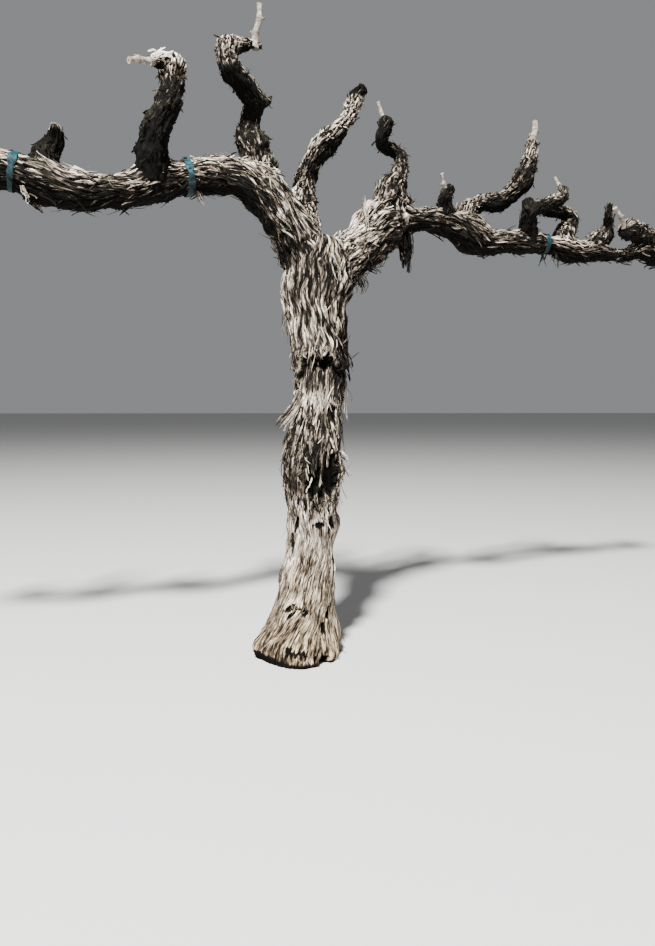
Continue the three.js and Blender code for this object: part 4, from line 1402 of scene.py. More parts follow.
# %% The strewing tree
def strewing_tree():
    tree = bpy.data.node_groups.new("strew_ribbons", "GeometryNodeTree")
    tree.interface.new_socket("Geometry", in_out="INPUT", socket_type="NodeSocketGeometry")
    numbers = ("Ribbons per Square Metre", "Length", "Width", "Lift", "Hang", "Turned Share")
    sockets = dict.fromkeys(numbers, "NodeSocketFloat")
    sockets.update({"Seed": "NodeSocketInt", "Bark": "NodeSocketMaterial"})
    names = {
        name: tree.interface.new_socket(name, in_out="INPUT", socket_type=kind).identifier
        for name, kind in sockets.items()
    }
    tree.interface.new_socket("Geometry", in_out="OUTPUT", socket_type="NodeSocketGeometry")
    given = node(tree, "NodeGroupInput").outputs

    def vector(operation, inputs, output=0):
        return node(tree, "ShaderNodeVectorMath", inputs, operation=operation).outputs[output]

    def attribute(name, kind):
        return node(tree, "GeometryNodeInputNamedAttribute", {0: name}, data_type=kind).outputs[0]

    def varied(name, low, high, seed, power=1.0):
        seeds = sums(tree, "ADD", given["Seed"], float(seed))
        chosen = node(tree, "FunctionNodeRandomValue", {2: low, 3: high, 8: seeds}).outputs[1]
        return sums(tree, "MULTIPLY", given[name], sums(tree, "POWER", chosen, power))

    density = sums(tree, "MULTIPLY", attribute("shag", "FLOAT"), given["Ribbons per Square Metre"])
    strewn = node(
        tree, "GeometryNodeDistributePointsOnFaces",
        {"Mesh": given["Geometry"], "Density": density, "Seed": given["Seed"]}, distribute_method="RANDOM",
    )
    normal = strewn.outputs["Normal"]
    turned = node(tree, "FunctionNodeRandomValue", {2: 0.0, 3: 1.0, 8: 77}).outputs[1]
    turned = sums(tree, "LESS_THAN", turned, given["Turned Share"])
    way = sums(tree, "SUBTRACT", 1.0, sums(tree, "MULTIPLY", turned, 2.0))
    flow = vector("SCALE", {0: attribute("flow", "FLOAT_VECTOR"), "Scale": way})
    down = node(tree, "ShaderNodeCombineXYZ", {2: sums(tree, "MULTIPLY", given["Hang"], -1.0)}).outputs[0]
    limits = {0: (-STRAY,) * 3, 1: (STRAY,) * 3, 8: 78}
    stray = node(tree, "FunctionNodeRandomValue", limits, data_type="FLOAT_VECTOR").outputs[0]
    flow = vector("ADD", {0: vector("ADD", {0: flow, 1: down}), 1: stray})
    upright = vector("SCALE", {0: normal, "Scale": vector("DOT_PRODUCT", {0: flow, 1: normal}, "Value")})
    flow = vector("SUBTRACT", {0: flow, 1: upright})
    lying = node(tree, "FunctionNodeAlignRotationToVector", {"Vector": flow}, axis="X").outputs[0]
    lying = node(
        tree, "FunctionNodeAlignRotationToVector", {"Rotation": lying, "Vector": normal},
        axis="Z", pivot_axis="X",
    ).outputs[0]
    ranges = (("Length", 0.35, 1.7, 1), ("Width", 0.4, 1.6, 2), ("Lift", 0.5, 1.3, 3, 3.0))
    sizes = {axis: varied(*chosen) for axis, chosen in enumerate(ranges)}
    scale = node(tree, "ShaderNodeCombineXYZ", sizes).outputs[0]
    shapes = node(tree, "GeometryNodeCollectionInfo", {"Collection": kinds, "Separate Children": True})
    which = node(tree, "FunctionNodeRandomValue", {4: 0, 5: RIBBON_KINDS - 1, 8: 79}, data_type="INT")
    laid = node(
        tree, "GeometryNodeInstanceOnPoints",
        {"Points": strewn.outputs["Points"], "Instance": shapes.outputs[0], "Pick Instance": True,
         "Instance Index": which.outputs[2], "Rotation": lying, "Scale": scale},
    )
    real = node(tree, "GeometryNodeRealizeInstances", {"Geometry": laid.outputs[0]})
    dressed = node(tree, "GeometryNodeSetMaterial", {"Geometry": real.outputs[0], "Material": given["Bark"]})
    node(tree, "NodeGroupOutput", {"Geometry": dressed.outputs[0]})
    return tree, names


strew_tree, strew_inputs = strewing_tree()
print("the strewing tree has", len(strew_tree.nodes), "nodes")

# %% Strew ribbons over the limbs
RIBBON_SIDE_SHADE = 0.15  # painted shade on a ribbon's sides, on its underside, and where it is rooted
RIBBON_UNDERSIDE_SHADE = 0.6
RIBBON_ROOT_SHADE = 0.45
DARK_SHARE = 0.3  # ribbons of dead, blackened bark
DARK_HOLLOW = 0.62


def ribbon_mesh(name, points, lengths, seed, bleach):
    """One mesh of many ribbons with the same number of points, dressed for the bark material."""
    faces, places = ribbon_faces(lengths)
    shape = (-1, lengths + 1, RIBBON_SIDES)
    ribbons = points.reshape(*shape, 3)
    count = len(ribbons)
    number = np.arange(count)
    middle = ribbons.mean(2)
    run = np.linalg.norm(middle[:, -1] - middle[:, 0], axis=1)[:, None, None]
    width = np.linalg.norm(ribbons[:, 1, 2] - ribbons[:, 1, 0], axis=1)[:, None, None]
    u = np.linspace(0, 1, lengths + 1)[None, :, None]
    v = np.array([-0.5, 0, 0.5, 0])
    shift, light, luck = (chance(number, column, seed)[:, None, None] for column in range(3))
    grain = np.stack(np.broadcast_arrays(v * width + shift, shift * 3, u * run + shift * 5), -1)
    below = np.array([RIBBON_SIDE_SHADE, RIBBON_UNDERSIDE_SHADE, RIBBON_SIDE_SHADE, 0.0])
    dead = np.where(luck < DARK_SHARE, DARK_HOLLOW, 0)
    hollow = np.maximum(np.maximum(below, RIBBON_ROOT_SHADE * (1 - 3 * u)), dead)
    tone = np.broadcast_to(1.3 * light - 0.15, hollow.shape)
    per_ribbon = (lengths + 1) * RIBBON_SIDES
    all_faces = (faces[None] + (number * per_ribbon)[:, None, None]).reshape(-1, 4)
    across = max(1, math.ceil(math.sqrt(count / 5)))
    down = math.ceil(count / across)
    cell = np.stack([number % across, number // across], 1)[:, None, None, :]
    spots = (cell + 0.04 + 0.92 * places[None]) / np.array([across, down])
    return mesh_of(
        name, points, [all_faces], spots.reshape(-1, 2), smooth=False,
        hollow=hollow.ravel(), tone=tone.ravel(), grain=grain.reshape(-1, 3), bleach=bleach,
    )


def strew(name, carrier_mesh, finish, seed, per_square_metre, length, width, lift, hang, turned):
    """Ribbons over a limb's skin, as one plain mesh."""
    carrier = bpy.data.objects.new("carrier", carrier_mesh)
    bpy.context.collection.objects.link(carrier)
    modifier = carrier.modifiers.new("strew", "NODES")
    modifier.node_group = strew_tree
    values = {
        "Ribbons per Square Metre": float(per_square_metre), "Length": length * MM, "Width": width * MM,
        "Lift": lift * MM, "Hang": float(hang), "Turned Share": float(turned), "Seed": seed, "Bark": finish,
    }
    for key, value in values.items():
        modifier[strew_inputs[key]] = value
    real = bpy.data.meshes.new_from_object(carrier.evaluated_get(bpy.context.evaluated_depsgraph_get()))
    points = np.empty(len(real.vertices) * 3, np.float32)
    real.vertices.foreach_get("co", points)
    bleach = np.empty(len(real.vertices), np.float32)
    real.attributes["bleach"].data.foreach_get("value", bleach)
    bpy.data.objects.remove(carrier)
    bpy.data.meshes.remove(real)
    points = points.reshape(-1, 3).astype(float)
    points[:, 2] = np.maximum(points[:, 2], 0.3 * MM)
    mesh = ribbon_mesh(name, points, RIBBON_LENGTHS, seed, bleach)
    mesh.materials.append(finish)
    print(name + ":", triangles(mesh), "triangles")
    return mesh


def joined_skin(meshes):
    """One carrier from several skins, so that their ribbons make one piece."""
    parts = [bpy.data.objects.new("part", mesh.copy()) for mesh in meshes]
    for part in parts:
        bpy.context.collection.objects.link(part)
    with bpy.context.temp_override(active_object=parts[0], selected_editable_objects=parts):
        bpy.ops.object.join()
    mesh = parts[0].data
    bpy.data.objects.remove(parts[0])
    return mesh


TRUNK_RIBBONS, ARM_RIBBONS, SPUR_RIBBONS = table(
    "per_square_metre length width lift hang turned",
    (3200, 34, 2.8, 2.2, 0.15, 0.8),
    (8500, 26, 2.8, 1.5, 0.05, 0.35),
    (9000, 12, 2.8, 2.2, 0.1, 0.6),
)

add_piece("ribbons_trunk", strew("ribbons_trunk", trunk_mesh, bark_finish, 1, **TRUNK_RIBBONS), "bark")
for number, side in enumerate(("left", "right")):
    name = f"ribbons_arm_{side}"
    skin = bpy.data.meshes[f"bark_arm_{side}"]
    add_piece(name, strew(name, skin, limb_finish, 2 + number, **ARM_RIBBONS), "bark")
    name = f"ribbons_spurs_{side}"
    own = [mesh for key, mesh in spur_meshes.items() if (side == "right") == ("right" in key)]
    skin = joined_skin(own)
    add_piece(name, strew(name, skin, limb_finish, 5 + number, **SPUR_RIBBONS), "bark")
    bpy.data.meshes.remove(skin)
for kind in list(kinds.objects):
    bpy.data.objects.remove(kind)
bpy.data.collections.remove(kinds)

# %% [markdown]
# ## Hanging bark
#
# Here and there a whole bundle of ribbons has come away: a flap on the trunk's left side, a tassel
# under the right arm, a torn end under the left one, and tangles in the crotch, in the hollow and
# under the skirt. These are the plant's landmarks, so each is laid one by one: a bundle follows a
# line of knees, and a loose strand follows the trunk round. The strips are made as the strewn
# ribbons are, only longer and with more lengths, so that they can curl.

# %% Bundles and strands
STRAND_LENGTHS = 10
BUNDLE_CURL = 2.2  # how far its strips wander, in their widths
STRIP_ROLL = 2.2  # radians between the strips that are rolled most to either side at their end
STRIP_TAPER = 0.55  # how much of its width a strip loses by its end
STRIP_THICK = 0.9 * MM
BUNDLES = table(
    "knees count width bleach",
    ([[218, 6, 958, 24], [228, 2, 911, 20], [230, 0, 850, 10]], 46, 7, -0.6),
    ([[-562, -4, 958, 16], [-556, -8, 930, 11], [-536, -10, 904, 5]], 26, 7, -0.35),
    ([[-566, -30, 942, 4], [-560, -34, 926, 4], [-552, -34, 912, 3]], 4, 5, 0.5),
    ([[92, -28, 842, 16], [104, -38, 812, 16], [100, -36, 790, 10]], 16, 4, -0.3),
    ([[118, -22, 872, 14], [132, -30, 846, 12], [150, -26, 838, 8]], 12, 4, -0.3),
    ([[120, -28, 930, 6], [112, -30, 968, 8], [106, -32, 1000, 8]], 7, 2.5, 0.3),
    ([[-248, -8, 980, 8], [-238, -14, 958, 8], [-232, -16, 944, 7]], 7, 3, -0.2),
    ([[644, 4, 930, 8], [648, 2, 908, 7], [650, 0, 886, 5]], 8, 4, -0.35),
    ([[622, 4, 930, 6], [612, 0, 914, 6], [606, 0, 902, 4]], 6, 3, -0.35),
    ([[352, -10, 944, 8], [358, -14, 926, 8], [352, -14, 910, 6]], 8, 4, -0.35),
)
FLAP_KNEES = [
    [-34, -32, 580, 8], [-44, -29, 556, 9], [-54, -24, 538, 11], [-68, -15, 519, 12], [-79, -7, 502, 15],
]
FLAP = {"knees": FLAP_KNEES, "count": 17, "width": 3.4, "bleach": 0.3}
FLAP_FACING = (-0.36, -0.88, 0.3)


def wandering(count, size, seed):
    """A smooth course from -0.5 to 0.5 for each of many strips, in bends of size lengths."""
    row = np.arange(STRAND_LENGTHS + 1)[None, :]
    return noise(row / size, np.arange(count)[:, None] + 0.0, 999, seed) - 0.5


def flap(knees, count, width, bleach, seed):
    """A sheet of strips side by side, peeled off the trunk and fanned out at its lower end."""
    line, radius, lengths = smooth_line(knees)
    number = np.arange(count)
    t = np.linspace(0, 1, STRAND_LENGTHS + 1)[None, :]
    along = t * (0.82 + 0.18 * chance(number, 1, seed)[:, None]) * lengths[-1]
    facing = unit(np.array([FLAP_FACING]))
    aside = unit(np.cross(unit(line[-1:] - line[:1]), facing))
    place = (2 * number / (count - 1) - 1 + 0.25 * (chance(number, 2, seed) - 0.5))[:, None]
    spread = np.interp(along, lengths, radius) * place
    depth = 2.5 * MM * (chance(number, 3, seed)[:, None] - 0.3) * (0.3 + t)
    course = at_distance(along, lengths, line) + aside * spread[..., None] + facing * depth[..., None]
    return strips_along(course, width, seed, np.repeat(facing, count, 0)), bleach


def bundle(knees, count, width, bleach, seed):
    """Torn strips that follow a line of knees side by side and spread at the free end."""
    line, radius, lengths = smooth_line(knees)
    number = np.arange(count)
    t = np.linspace(0, 1, STRAND_LENGTHS + 1)
    first = 0.12 * chance(number, 0, seed)[:, None]
    last = 0.45 + 0.55 * chance(number, 1, seed)[:, None]
    along = (first + (last - first) * t) * lengths[-1]
    course = at_distance(along, lengths, line)
    spread = np.interp(along, lengths, radius)
    turn = 2 * math.pi * chance(number, 2, seed)
    out = np.sqrt(chance(number, 3, seed))
    sideways = np.stack([np.cos(turn), np.sin(turn), 0.3 * np.sin(3 * turn)], 1) * out[:, None]
    course = course + sideways[:, None] * spread[..., None]
    curl = np.stack([wandering(count, 3, seed + 4 + axis) for axis in range(3)], -1)
    course = course + curl * (width * BUNDLE_CURL * MM) * t[None, :, None]
    return strips_along(course, width, seed, sideways), bleach


def strips_along(course, width, seed, facing):
    """Strips of torn width along many courses, each lying square to its own facing."""
    number = np.arange(len(course))[:, None]
    row = np.arange(course.shape[1])[None, :]
    t = row / (course.shape[1] - 1)
    run = unit(np.gradient(course, axis=1))
    aside = unit(np.cross(run, np.broadcast_to(facing[:, None] + 1e-3, course.shape)))
    above = unit(np.cross(run, aside))
    roll = STRIP_ROLL * (chance(number, 11, seed) - 0.5) * t
    aside, above = turned_from(aside, above, roll), turned_from(above, -aside, roll)
    widths = width * (0.45 + 0.8 * chance(number, row, seed + 9)) * (0.6 + 0.8 * chance(number, 12, seed))
    widths = widths * (1 - STRIP_TAPER * t**3) * MM
    strips = zip(course, aside, above, widths)
    return np.vstack([ribbon_points(*strip, STRIP_THICK) for strip in strips])


STRAND_WANDER = 7  # degrees round the trunk
STRANDS = table(
    "angles heights count drop turn out width bleach lean",
    ((200, 290), (650, 676), 14, 16, 8, 4, 5, 0.15),
    ((290, 350), (628, 668), 24, 40, 8, 5, 6, -0.25),
    ((350, 560), (632, 668), 46, 32, 8, 4, 6, 0.05),
    ((296, 330), (520, 610), 16, 58, 10, 5, 4, 0.05),
    ((316, 334), (566, 600), 5, 76, 4, 14, 4, 0.2),
    ((262, 326), (372, 452), 20, 24, 22, 5, 3, -0.5),
    ((205, 262), (430, 560), 18, 46, 14, 3, 5, 0.05),
    ((216, 254), (122, 136), 14, 22, 9, 2, 2.5, 0.2),
    ((262, 330), (352, 366), 16, 20, 14, 6, 5, -0.1),
    ((20, 200), (350, 560), 56, 46, 16, 4, 5, 0.0),
    ((229, 232), (440, 446), 2, 28, 2, 12, 3.2, 0.5, 15),
    ((244, 247), (396, 404), 2, 26, 3, 11, 2.6, 0.3, -8),
    ((322, 329), (450, 455), 4, 15, 6, 7, 8, 0.7),
)


def strands(angles, heights, count, drop, turn, out, width, bleach, seed, lean=0):
    """Strips that start on the trunk's bark, cross the grain a little, and lift off at their end."""
    start, swerve, level, fall, stand = (chance(np.arange(count), i, seed)[:, None] for i in range(5))
    t = np.linspace(0, 1, STRAND_LENGTHS + 1)[None, :]
    angle = angles[0] + (angles[1] - angles[0]) * start
    angle = angle + (lean + turn * (2 * swerve - 1)) * t
    angle = angle + STRAND_WANDER * wandering(count, 2.5, seed + 5) * t
    height = heights[0] + (heights[1] - heights[0]) * level
    height = height - drop * (0.4 + 0.9 * fall) * t
    lift = out * (0.2 + 1.3 * stand) * (np.sin(2.4 * t) + 0.6 * t**2) - 1.5 * (1 - t)
    angle = np.radians(angle)
    x, y, radius = trunk_at(height)
    reach = radius * trunk_profile(angle, height) + trunk_forms(angle, height)[0] + lift + 1
    course = np.stack([x + reach * np.cos(angle), y + reach * np.sin(angle), height], -1) * MM
    middle = angle[:, 0]
    facing = np.stack([np.cos(middle), np.sin(middle), 0 * middle], 1)
    return strips_along(course, width, seed, facing), bleach


def hanging_bark():
    laid = [bundle(**row, seed=601 + 20 * i) for i, row in enumerate(BUNDLES)]
    laid += [strands(**row, seed=901 + 20 * i) for i, row in enumerate(STRANDS)]
    laid.append(flap(**FLAP, seed=881))
    points = np.vstack([strip for strip, _ in laid])
    bleach = np.concatenate([np.full(len(strip), value) for strip, value in laid])
    return ribbon_mesh("hanging_bark", points, STRAND_LENGTHS, 41, bleach)


hanging_mesh = hanging_bark()
hanging_mesh.materials.append(bark_finish)
add_piece("hanging_bark", hanging_mesh, "bark")
print("hanging bark:", triangles(hanging_mesh), "triangles")

# %% [markdown]
# ## Last year's canes
#
# Each spur carries a cut cane: smooth, pale wood in straight lengths, swollen at its nodes, with a
# bud on alternate sides and a plain cut at the end. The source's seeded rule places nodes, sway
# and buds. It is written again here with round stems, a bark ridge at each node and pointed buds.

# %% The canes' rule
CANES = table(
    "name start end radius seed",
    ("cane_left_1", [-116, 24, 1280], [-103, 15, 1366], 7, 1),
    ("cane_left_2", [-316, -18, 1202], [-377, -44, 1184], 7, 2),
    ("cane_left_4", [-714, 12, 1154], [-700, 2, 1226], 6, 4),
    ("cane_left_5", [-900, -12, 1110], [-922, -24, 1176], 6, 5),
    ("cane_right_1", [174, -2, 1164], [161, 10, 1212], 5, 6),
    ("cane_right_2", [315, -31, 1024], [292, -42, 1062], 5, 7),
    ("cane_right_3", [562, -5, 1168], [580, 5, 1230], 8, 8),
    ("cane_right_4", [663, 0, 1072], [640, 5, 1110], 5, 9),
    ("cane_right_7", [832, -33, 1000], [787, -46, 1040], 6, 10),
)
INTERNODE = 26
NODE_SWELL = 1.25
CANE_SWAY = 0.35
CANE_TAPER = 0.25
BUD_SIZE = 0.75
CANE_COLUMNS = 28
ROWS_PER_INTERNODE = 16
BUD_ROWS = 7
BUD_COLUMNS = 12
STEM_MAP = 0.7  # the stem's share of the map's width; the buds have the rest
# Rings of the cut face: their part of the girth, and how much of the cut's colour they have.
CUT_RINGS = [(0.9, 0.6), (0.86, 1.0), (0.45, 1.0), (0.25, 1.0), (0.12, 1.0)]
PITH = 0.3  # the dark pith's part of the girth


def turned_about(vector, axis, angle):
    """A vector turned by an angle about an axis, which is one unit long."""
    turned = vector * math.cos(angle) + np.cross(axis, vector) * math.sin(angle)
    return turned + axis * axis.dot(vector) * (1 - math.cos(angle))


def cane_nodes(start, end, radius, seed):
    """Centre, radius, way and sideways direction of each node, as the source's rule has them."""
    start, course = np.array(start, float), np.array(end, float) - np.array(start, float)
    count = max(2, round(float(np.linalg.norm(course)) / INTERNODE))
    forward = unit(course)
    aside = turned_about(np.array([0.0, 1.0, 0.0]), forward, seed)
    aside = unit(aside - aside.dot(forward) * forward)
    number = np.arange(count + 1)
    way = np.where(number % 2, 1, -1)
    centre = start + course * (number / count)[:, None] + aside * (way * CANE_SWAY * radius)[:, None]
    return centre, radius * (1 - CANE_TAPER * number / count), way, forward, aside


def cane_stem(centre, thickness, forward, aside, seed):
    """Round rings from node to node: a swelling at each, a ridge on it, and a cut face at the end."""
    count = len(centre) - 1
    t = np.linspace(0, count, count * ROWS_PER_INTERNODE + 1)
    number = np.arange(count + 1)
    place = np.stack([np.interp(t, number, column) for column in centre.T], 1)
    girth = np.interp(t, number, thickness)
    to_node = np.abs(t - np.round(t)) * INTERNODE / girth
    swell = 1 + (NODE_SWELL - 1) * np.exp(-((to_node / 0.9) ** 2))
    swell = swell + 0.07 * np.exp(-(((to_node - 0.35) / 0.16) ** 2))
    ring = np.exp(-((to_node / 0.3) ** 2))
    cut = np.zeros(len(t))
    last_swell = swell[-1]
    for inset, pale in CUT_RINGS:
        place = np.vstack([place, place[-1] + forward * (0.12 if pale < 1 else 0.0)])
        swell = np.append(swell, last_swell * inset)
        girth = np.append(girth, girth[-1])
        ring = np.append(ring, 0.0 if inset > PITH else 0.9)
        cut = np.append(cut, pale)
    around = np.arange(CANE_COLUMNS)[None, :] / CANE_COLUMNS
    rows = np.arange(len(place))[:, None]
    ribs = 1 + 0.035 * (noise(around * 9, rows / 9, 9, seed) - 0.5)
    ribs = ribs + 0.05 * (noise(around * 3, rows / 7, 3, seed + 1) - 0.5)
    reach = girth[:, None] * swell[:, None] * np.where(cut[:, None] > 0, 1, ribs)
    outward = turned_from(aside, np.cross(forward, aside), 2 * math.pi * around)
    points = (place[:, None] + reach[..., None] * outward) * MM
    ring, cut = (np.broadcast_to(values[:, None], reach.shape) for values in (ring, cut))
    return points, ring, cut


def cane_bud(centre, forward, out, size):
    """A pointed bud that leans forward and out from its node."""
    tip = unit(0.8 * forward + 0.6 * out)
    aside = unit(np.cross(tip, out))
    above = np.cross(aside, tip)
    t = np.linspace(0.02, 0.98, BUD_ROWS)[:, None]
    turn = 2 * math.pi * np.arange(BUD_COLUMNS)[None, :] / BUD_COLUMNS
    girth = size * 0.72 * np.sin(math.pi * t**0.75) ** 0.8
    middle = centre + tip * (2.0 * size * (t[..., None] - 0.25))
    points = middle + (girth * np.cos(turn))[..., None] * aside
    points = points + (0.75 * girth * np.sin(turn))[..., None] * above
    return points * MM, np.full(points.shape[:2], 0.75), np.zeros(points.shape[:2])


def cane_mesh(name, start, end, radius, seed):
    centre, thickness, way, forward, aside = cane_nodes(start, end, radius, seed)
    shells = [cane_stem(centre, thickness, forward, aside, seed)]
    for n in range(1, len(centre) - 1):
        out = aside * way[n]
        seat = centre[n] + out * thickness[n] * NODE_SWELL * 0.9
        shells.append(cane_bud(seat, forward, out, thickness[n] * BUD_SIZE))
    grids, rings, cuts = zip(*shells)
    edges = [0.0, *np.linspace(STEM_MAP, 1, len(shells))]
    axes = np.stack([aside, np.cross(forward, aside), forward], 1)
    values = {"ring": rings, "cut": cuts, "grain": [grid @ axes for grid in grids]}
    return joined_grids(name, grids, zip(edges[:-1], edges[1:]), values)


# %% The canes' finish, and the canes
CANE_TONES = [
    (0.0, (0.050, 0.040, 0.032)), (0.35, (0.130, 0.108, 0.086)), (0.65, (0.270, 0.235, 0.195)),
    (1.0, (0.520, 0.475, 0.410)),
]
NODE_COLOUR = (0.045, 0.033, 0.026, 1)
CUT_COLOUR = (0.300, 0.250, 0.190, 1)
STREAK_GRAIN = (1 / 0.0012, 1 / 0.0012, 1 / 0.016)


def make_cane_material():
    material, tree = new_material("cane")
    grain = told(tree, "grain", "Vector")
    streak = along_grain(tree, grain, STREAK_GRAIN, 3.0, 0.65)
    blotch = speckle(tree, grain, 120.0, 3.0)
    light = sums(tree, "ADD", swing(tree, streak, 1.5), swing(tree, blotch, 1.3))
    colour = ramp(tree, sums(tree, "ADD", light, 0.50, clamp=True), CANE_TONES)
    colour = mixed(tree, told(tree, "cut"), colour, CUT_COLOUR)
    dark = sums(tree, "MULTIPLY", told(tree, "ring"), sums(tree, "ADD", blotch, 0.28), clamp=True)
    colour = mixed(tree, dark, colour, NODE_COLOUR)
    finish_material(tree, colour, 0.72, 0.3, bumped(tree, streak, 0.5, 0.0006))
    return material


cane_finish = make_cane_material()
for cane in CANES:
    mesh = cane_mesh("wood_" + cane["name"], cane["start"], cane["end"], cane["radius"], cane["seed"])
    mesh.materials.append(cane_finish)
    add_piece("wood_" + cane["name"], mesh, "cane", cane["name"])
print(len(CANES), "canes")

# %% [markdown]
# ## The ties
#
# Each arm was once tied with a band of teal plastic, stretched round the bark and knotted. The band
# is a ring of short cross-sections that rests on the highest bark under it, crumpled a little, with
# wavy edges. A small knot and two torn tails sit on its front.

# %% Wrap the ties
TIES = table(
    "name arm at knot",
    ("tie_left_inner", "left", -262, 250),
    ("tie_left_outer", "left", -578, 300),
    ("tie_right", "right", 613, 262),
)
TIE_WIDTH = 12
TIE_THICK = 0.9
TIE_CLEAR = 0.5
TIE_COLUMNS = 96
TIE_SECTION = 14
TIE_CRUMPLE = 1.1
KNOT_OUT = 2.5
KNOT_SIZE = 4.6
TAIL_FALL = 24
TAIL_WIDTH = 4.5
BAND_MAP = 0.8  # the band's share of the map's width; its knot and tails have the rest


def tie_band(arm, at, seed):
    """A crumpled band round the displaced bark of an arm at one place along the row."""
    grid = arm_grids[arm]
    centre = grid.points.mean(1)
    row = int(np.abs(centre[:, 0] - at * MM).argmin())
    reach = max(2, round(TIE_WIDTH / 2 * MM / ARM_SKIN["step"]))
    axis = unit(centre[row + reach] - centre[row - reach])
    aside = unit(np.array([0.0, 1.0, 0.0]) - axis[1] * axis)
    above = np.cross(axis, aside)
    near = grid.points[row - reach : row + reach + 1].reshape(-1, 3) - centre[row]
    angle = np.degrees(np.arctan2(near @ above, near @ aside)) % 360
    distance = np.hypot(near @ above, near @ aside)
    columns = np.arange(TIE_COLUMNS) * 360 / TIE_COLUMNS
    apart = np.abs((angle[None] - columns[:, None] + 180) % 360 - 180)
    girth = np.where(apart < 10, distance[None], 0).max(1)
    girth = (girth + np.roll(girth, 1) + np.roll(girth, -1)) / 3
    turn = np.radians(columns)[:, None]
    section = 2 * math.pi * np.arange(TIE_SECTION)[None, :] / TIE_SECTION
    wide = TIE_WIDTH / 2 * MM * (0.6 + 0.8 * noise(columns / 20, 0 * columns, 18, seed))[:, None]
    lean = 2.5 * MM * np.sin(turn + seed)
    offset = wide * np.sign(np.cos(section)) * np.abs(np.cos(section)) ** 0.7 + lean
    crumple = TIE_CRUMPLE * MM * (noise(columns[:, None] / 9, offset / (5 * MM), 40, seed + 1) - 0.3)
    out = girth[:, None] + TIE_CLEAR * MM + crumple + TIE_THICK * MM * (0.5 + 0.5 * np.sin(section))
    radial = turned_from(aside, above, turn)
    points = centre[row] + radial * out[..., None] + axis * offset[..., None]
    return points, centre[row], axis, aside, above, girth


def loop_faces(rows, columns):
    """Faces of a ring that closes on itself both ways, and its map."""
    i, k = np.meshgrid(np.arange(rows), np.arange(columns), indexing="ij")
    after, beside = (i + 1) % rows, (k + 1) % columns
    low, high = i * columns, after * columns
    faces = np.stack([low + k, low + beside, high + beside, high + k], -1)
    u = np.stack([i, i, i + 1, i + 1], -1) / rows
    v = np.stack([k, k + 1, k + 1, k], -1) / columns
    return faces.reshape(-1, 4), np.stack([u, v], -1).reshape(-1, 2)


def tie_mesh(name, arm, at, knot, seed):
    points, centre, axis, aside, above, girth = tie_band(arm, at, seed)
    faces, band_map = loop_faces(*points.shape[:2])
    points = points.reshape(-1, 3)
    if signed_volume(points, faces) < 0:
        faces = faces[:, ::-1]
        band_map = band_map.reshape(-1, 4, 2)[:, ::-1].reshape(-1, 2)
    turn = math.radians(knot)
    out = math.cos(turn) * aside + math.sin(turn) * above
    seat = centre + out * (girth[round(knot / 360 * TIE_COLUMNS) % TIE_COLUMNS] + KNOT_OUT * MM)
    knot_grid, _, _ = cane_bud(seat / MM - 4 * axis, unit(axis + 0.2 * above), out, KNOT_SIZE)
    knot_grid = knot_grid + (0.8 * MM * noise_in_space(knot_grid, 3 * MM, seed))[..., None] * out
    sides, fans = grid_faces(*knot_grid.shape[:2])
    knot_points = with_ends(knot_grid)
    knot_map = grid_map(*knot_grid.shape[:2], BAND_MAP + 0.02, BAND_MAP + 0.1)
    t = np.linspace(0, 1, STRAND_LENGTHS + 1)[:, None]
    fall = np.array([0, 0, TAIL_FALL])
    tails = [
        seat + (out * 5 - fall * t + axis * way * (4 + 9 * t) + out * 4 * np.sin(3 * t)) * t * MM
        for way in (-1, 1)
    ]
    tail_points = strips_along(np.array(tails), TAIL_WIDTH, seed, np.array([out, out]))
    strip, strip_map = ribbon_faces(STRAND_LENGTHS)
    per_strip = (STRAND_LENGTHS + 1) * RIBBON_SIDES
    knot_first = len(points)
    tail_first = knot_first + len(knot_points)
    fours = [faces, sides + knot_first]
    four_maps = [band_map * (BAND_MAP, 1.0), knot_map[: sides.size]]
    for i in range(len(tails)):
        fours.append(strip + tail_first + i * per_strip)
        four_maps.append(strip_map.reshape(-1, 2) * (0.05, 0.9) + (0.91 + 0.05 * i * 0.9, 0.05))
    flat_map = np.vstack(four_maps + [knot_map[sides.size :]])
    all_points = np.vstack([points, knot_points, tail_points])
    return mesh_of(name, all_points, [np.vstack(fours), fans + knot_first], flat_map)


def signed_volume(points, faces):
    a, b, c, d = (points[faces[:, k]] - points.mean(0) for k in range(4))
    return np.einsum("ij,ij->", a, np.cross(b, c) + np.cross(c, d))


TIE_TONES = [
    (0.30, (0.001, 0.005, 0.007)), (0.48, (0.002, 0.022, 0.030)), (0.70, (0.006, 0.070, 0.088)),
]
# painted shade on the band's downward side
TIE_UNDERSIDE_SHADE = (0.006, 0.010, 0.011, 1)


def make_tie_material():
    material, tree = new_material("tie")
    place = node(tree, "ShaderNodeTexCoord").outputs["Object"]
    colour = ramp(tree, speckle(tree, place, 160.0, 4.0), TIE_TONES)
    # painted shade: the band is darker where it faces down
    colour = mixed(tree, falling(tree, slope_up(tree), -0.5, 0.5, 0.8, 0.0), colour, TIE_UNDERSIDE_SHADE)
    crease = speckle(tree, place, 420.0, 2.0)
    finish_material(tree, colour, 0.6, 0.15, bumped(tree, crease, 0.6, 0.0008))
    return material


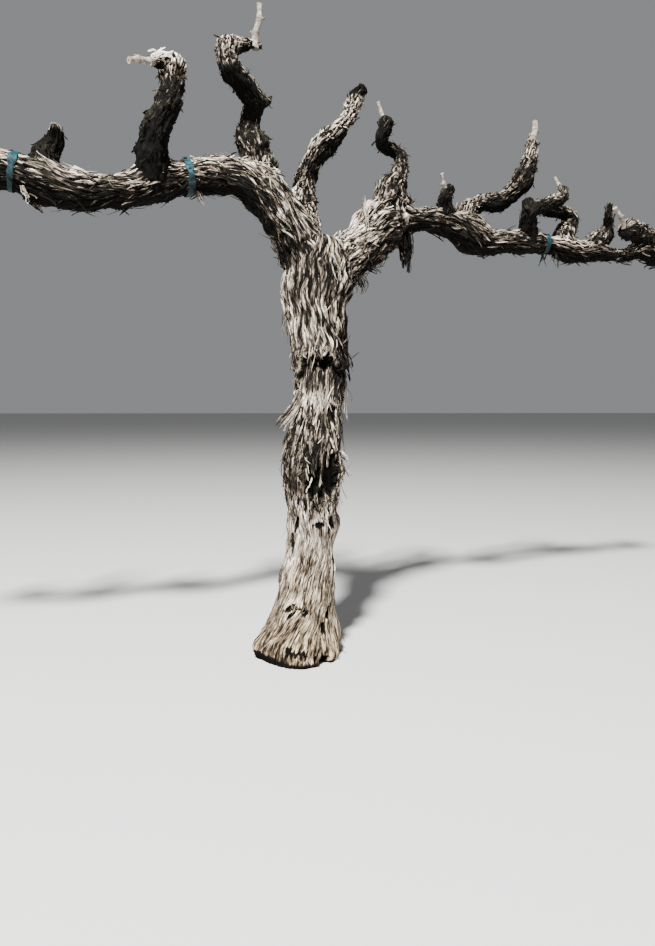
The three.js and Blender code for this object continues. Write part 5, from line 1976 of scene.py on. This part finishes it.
tie_finish = make_tie_material()
for number, tie in enumerate(TIES):
    mesh = tie_mesh("band_" + tie["name"], tie["arm"], tie["at"], tie["knot"], 1201 + 10 * number)
    mesh.materials.append(tie_finish)
    add_piece("band_" + tie["name"], mesh, "tie", tie["name"])
print(len(TIES), "ties")

# %% [markdown]
# ## Floor and light
#
# A pale floor and one large soft lamp, high in front and to the left, show the bark's relief by
# its shadows. A pale world fills them, so that the cracks stay dark but not empty.

# %% Make the floor and the lights
FLOOR_HALF = 300  # in metres, so far that its edge is the horizon
FLOOR_COLOUR = (0.54, 0.535, 0.52, 1)
WORLD_COLOUR = (0.86, 0.88, 0.90, 1)
WORLD_STRENGTH = 0.30

KEY_PLACE = (-2.4, -3.6, 5.6)
KEY_TARGET = (0.0, 0.0, 0.8)
KEY_SIZE = 0.7
KEY_POWER = 2500

floor_material, floor_tree = new_material("floor")
floor_shader = node(floor_tree, "ShaderNodeBsdfPrincipled", {"Base Color": FLOOR_COLOUR, "Roughness": 0.9})
node(floor_tree, "ShaderNodeOutputMaterial", {"Surface": floor_shader.outputs[0]})
floor_corners = [(x * FLOOR_HALF, y * FLOOR_HALF, 0) for x, y in ((-1, -1), (1, -1), (1, 1), (-1, 1))]
floor_mesh = bpy.data.meshes.new("floor")
floor_mesh.from_pydata(floor_corners, [], [(0, 1, 2, 3)])
floor_mesh.materials.append(floor_material)
floor = bpy.data.objects.new("floor", floor_mesh)
bpy.context.collection.objects.link(floor)

world = bpy.data.worlds.new("pale")
world.use_nodes = True
world.node_tree.nodes.clear()
sky = node(world.node_tree, "ShaderNodeBackground", {"Color": WORLD_COLOUR, "Strength": WORLD_STRENGTH})
node(world.node_tree, "ShaderNodeOutputWorld", {"Surface": sky.outputs[0]})
bpy.context.scene.world = world

key_data = bpy.data.lights.new("key", "AREA")
key_data.shape = "DISK"
key_data.size = KEY_SIZE
key_data.energy = KEY_POWER
key = bpy.data.objects.new("key", key_data)
key.location = KEY_PLACE
aim = unit(np.array(KEY_TARGET) - np.array(KEY_PLACE))
key.rotation_euler = (math.acos(-aim[2]), 0, math.atan2(-aim[0], aim[1]))
bpy.context.collection.objects.link(key)
print("key light at", KEY_PLACE)
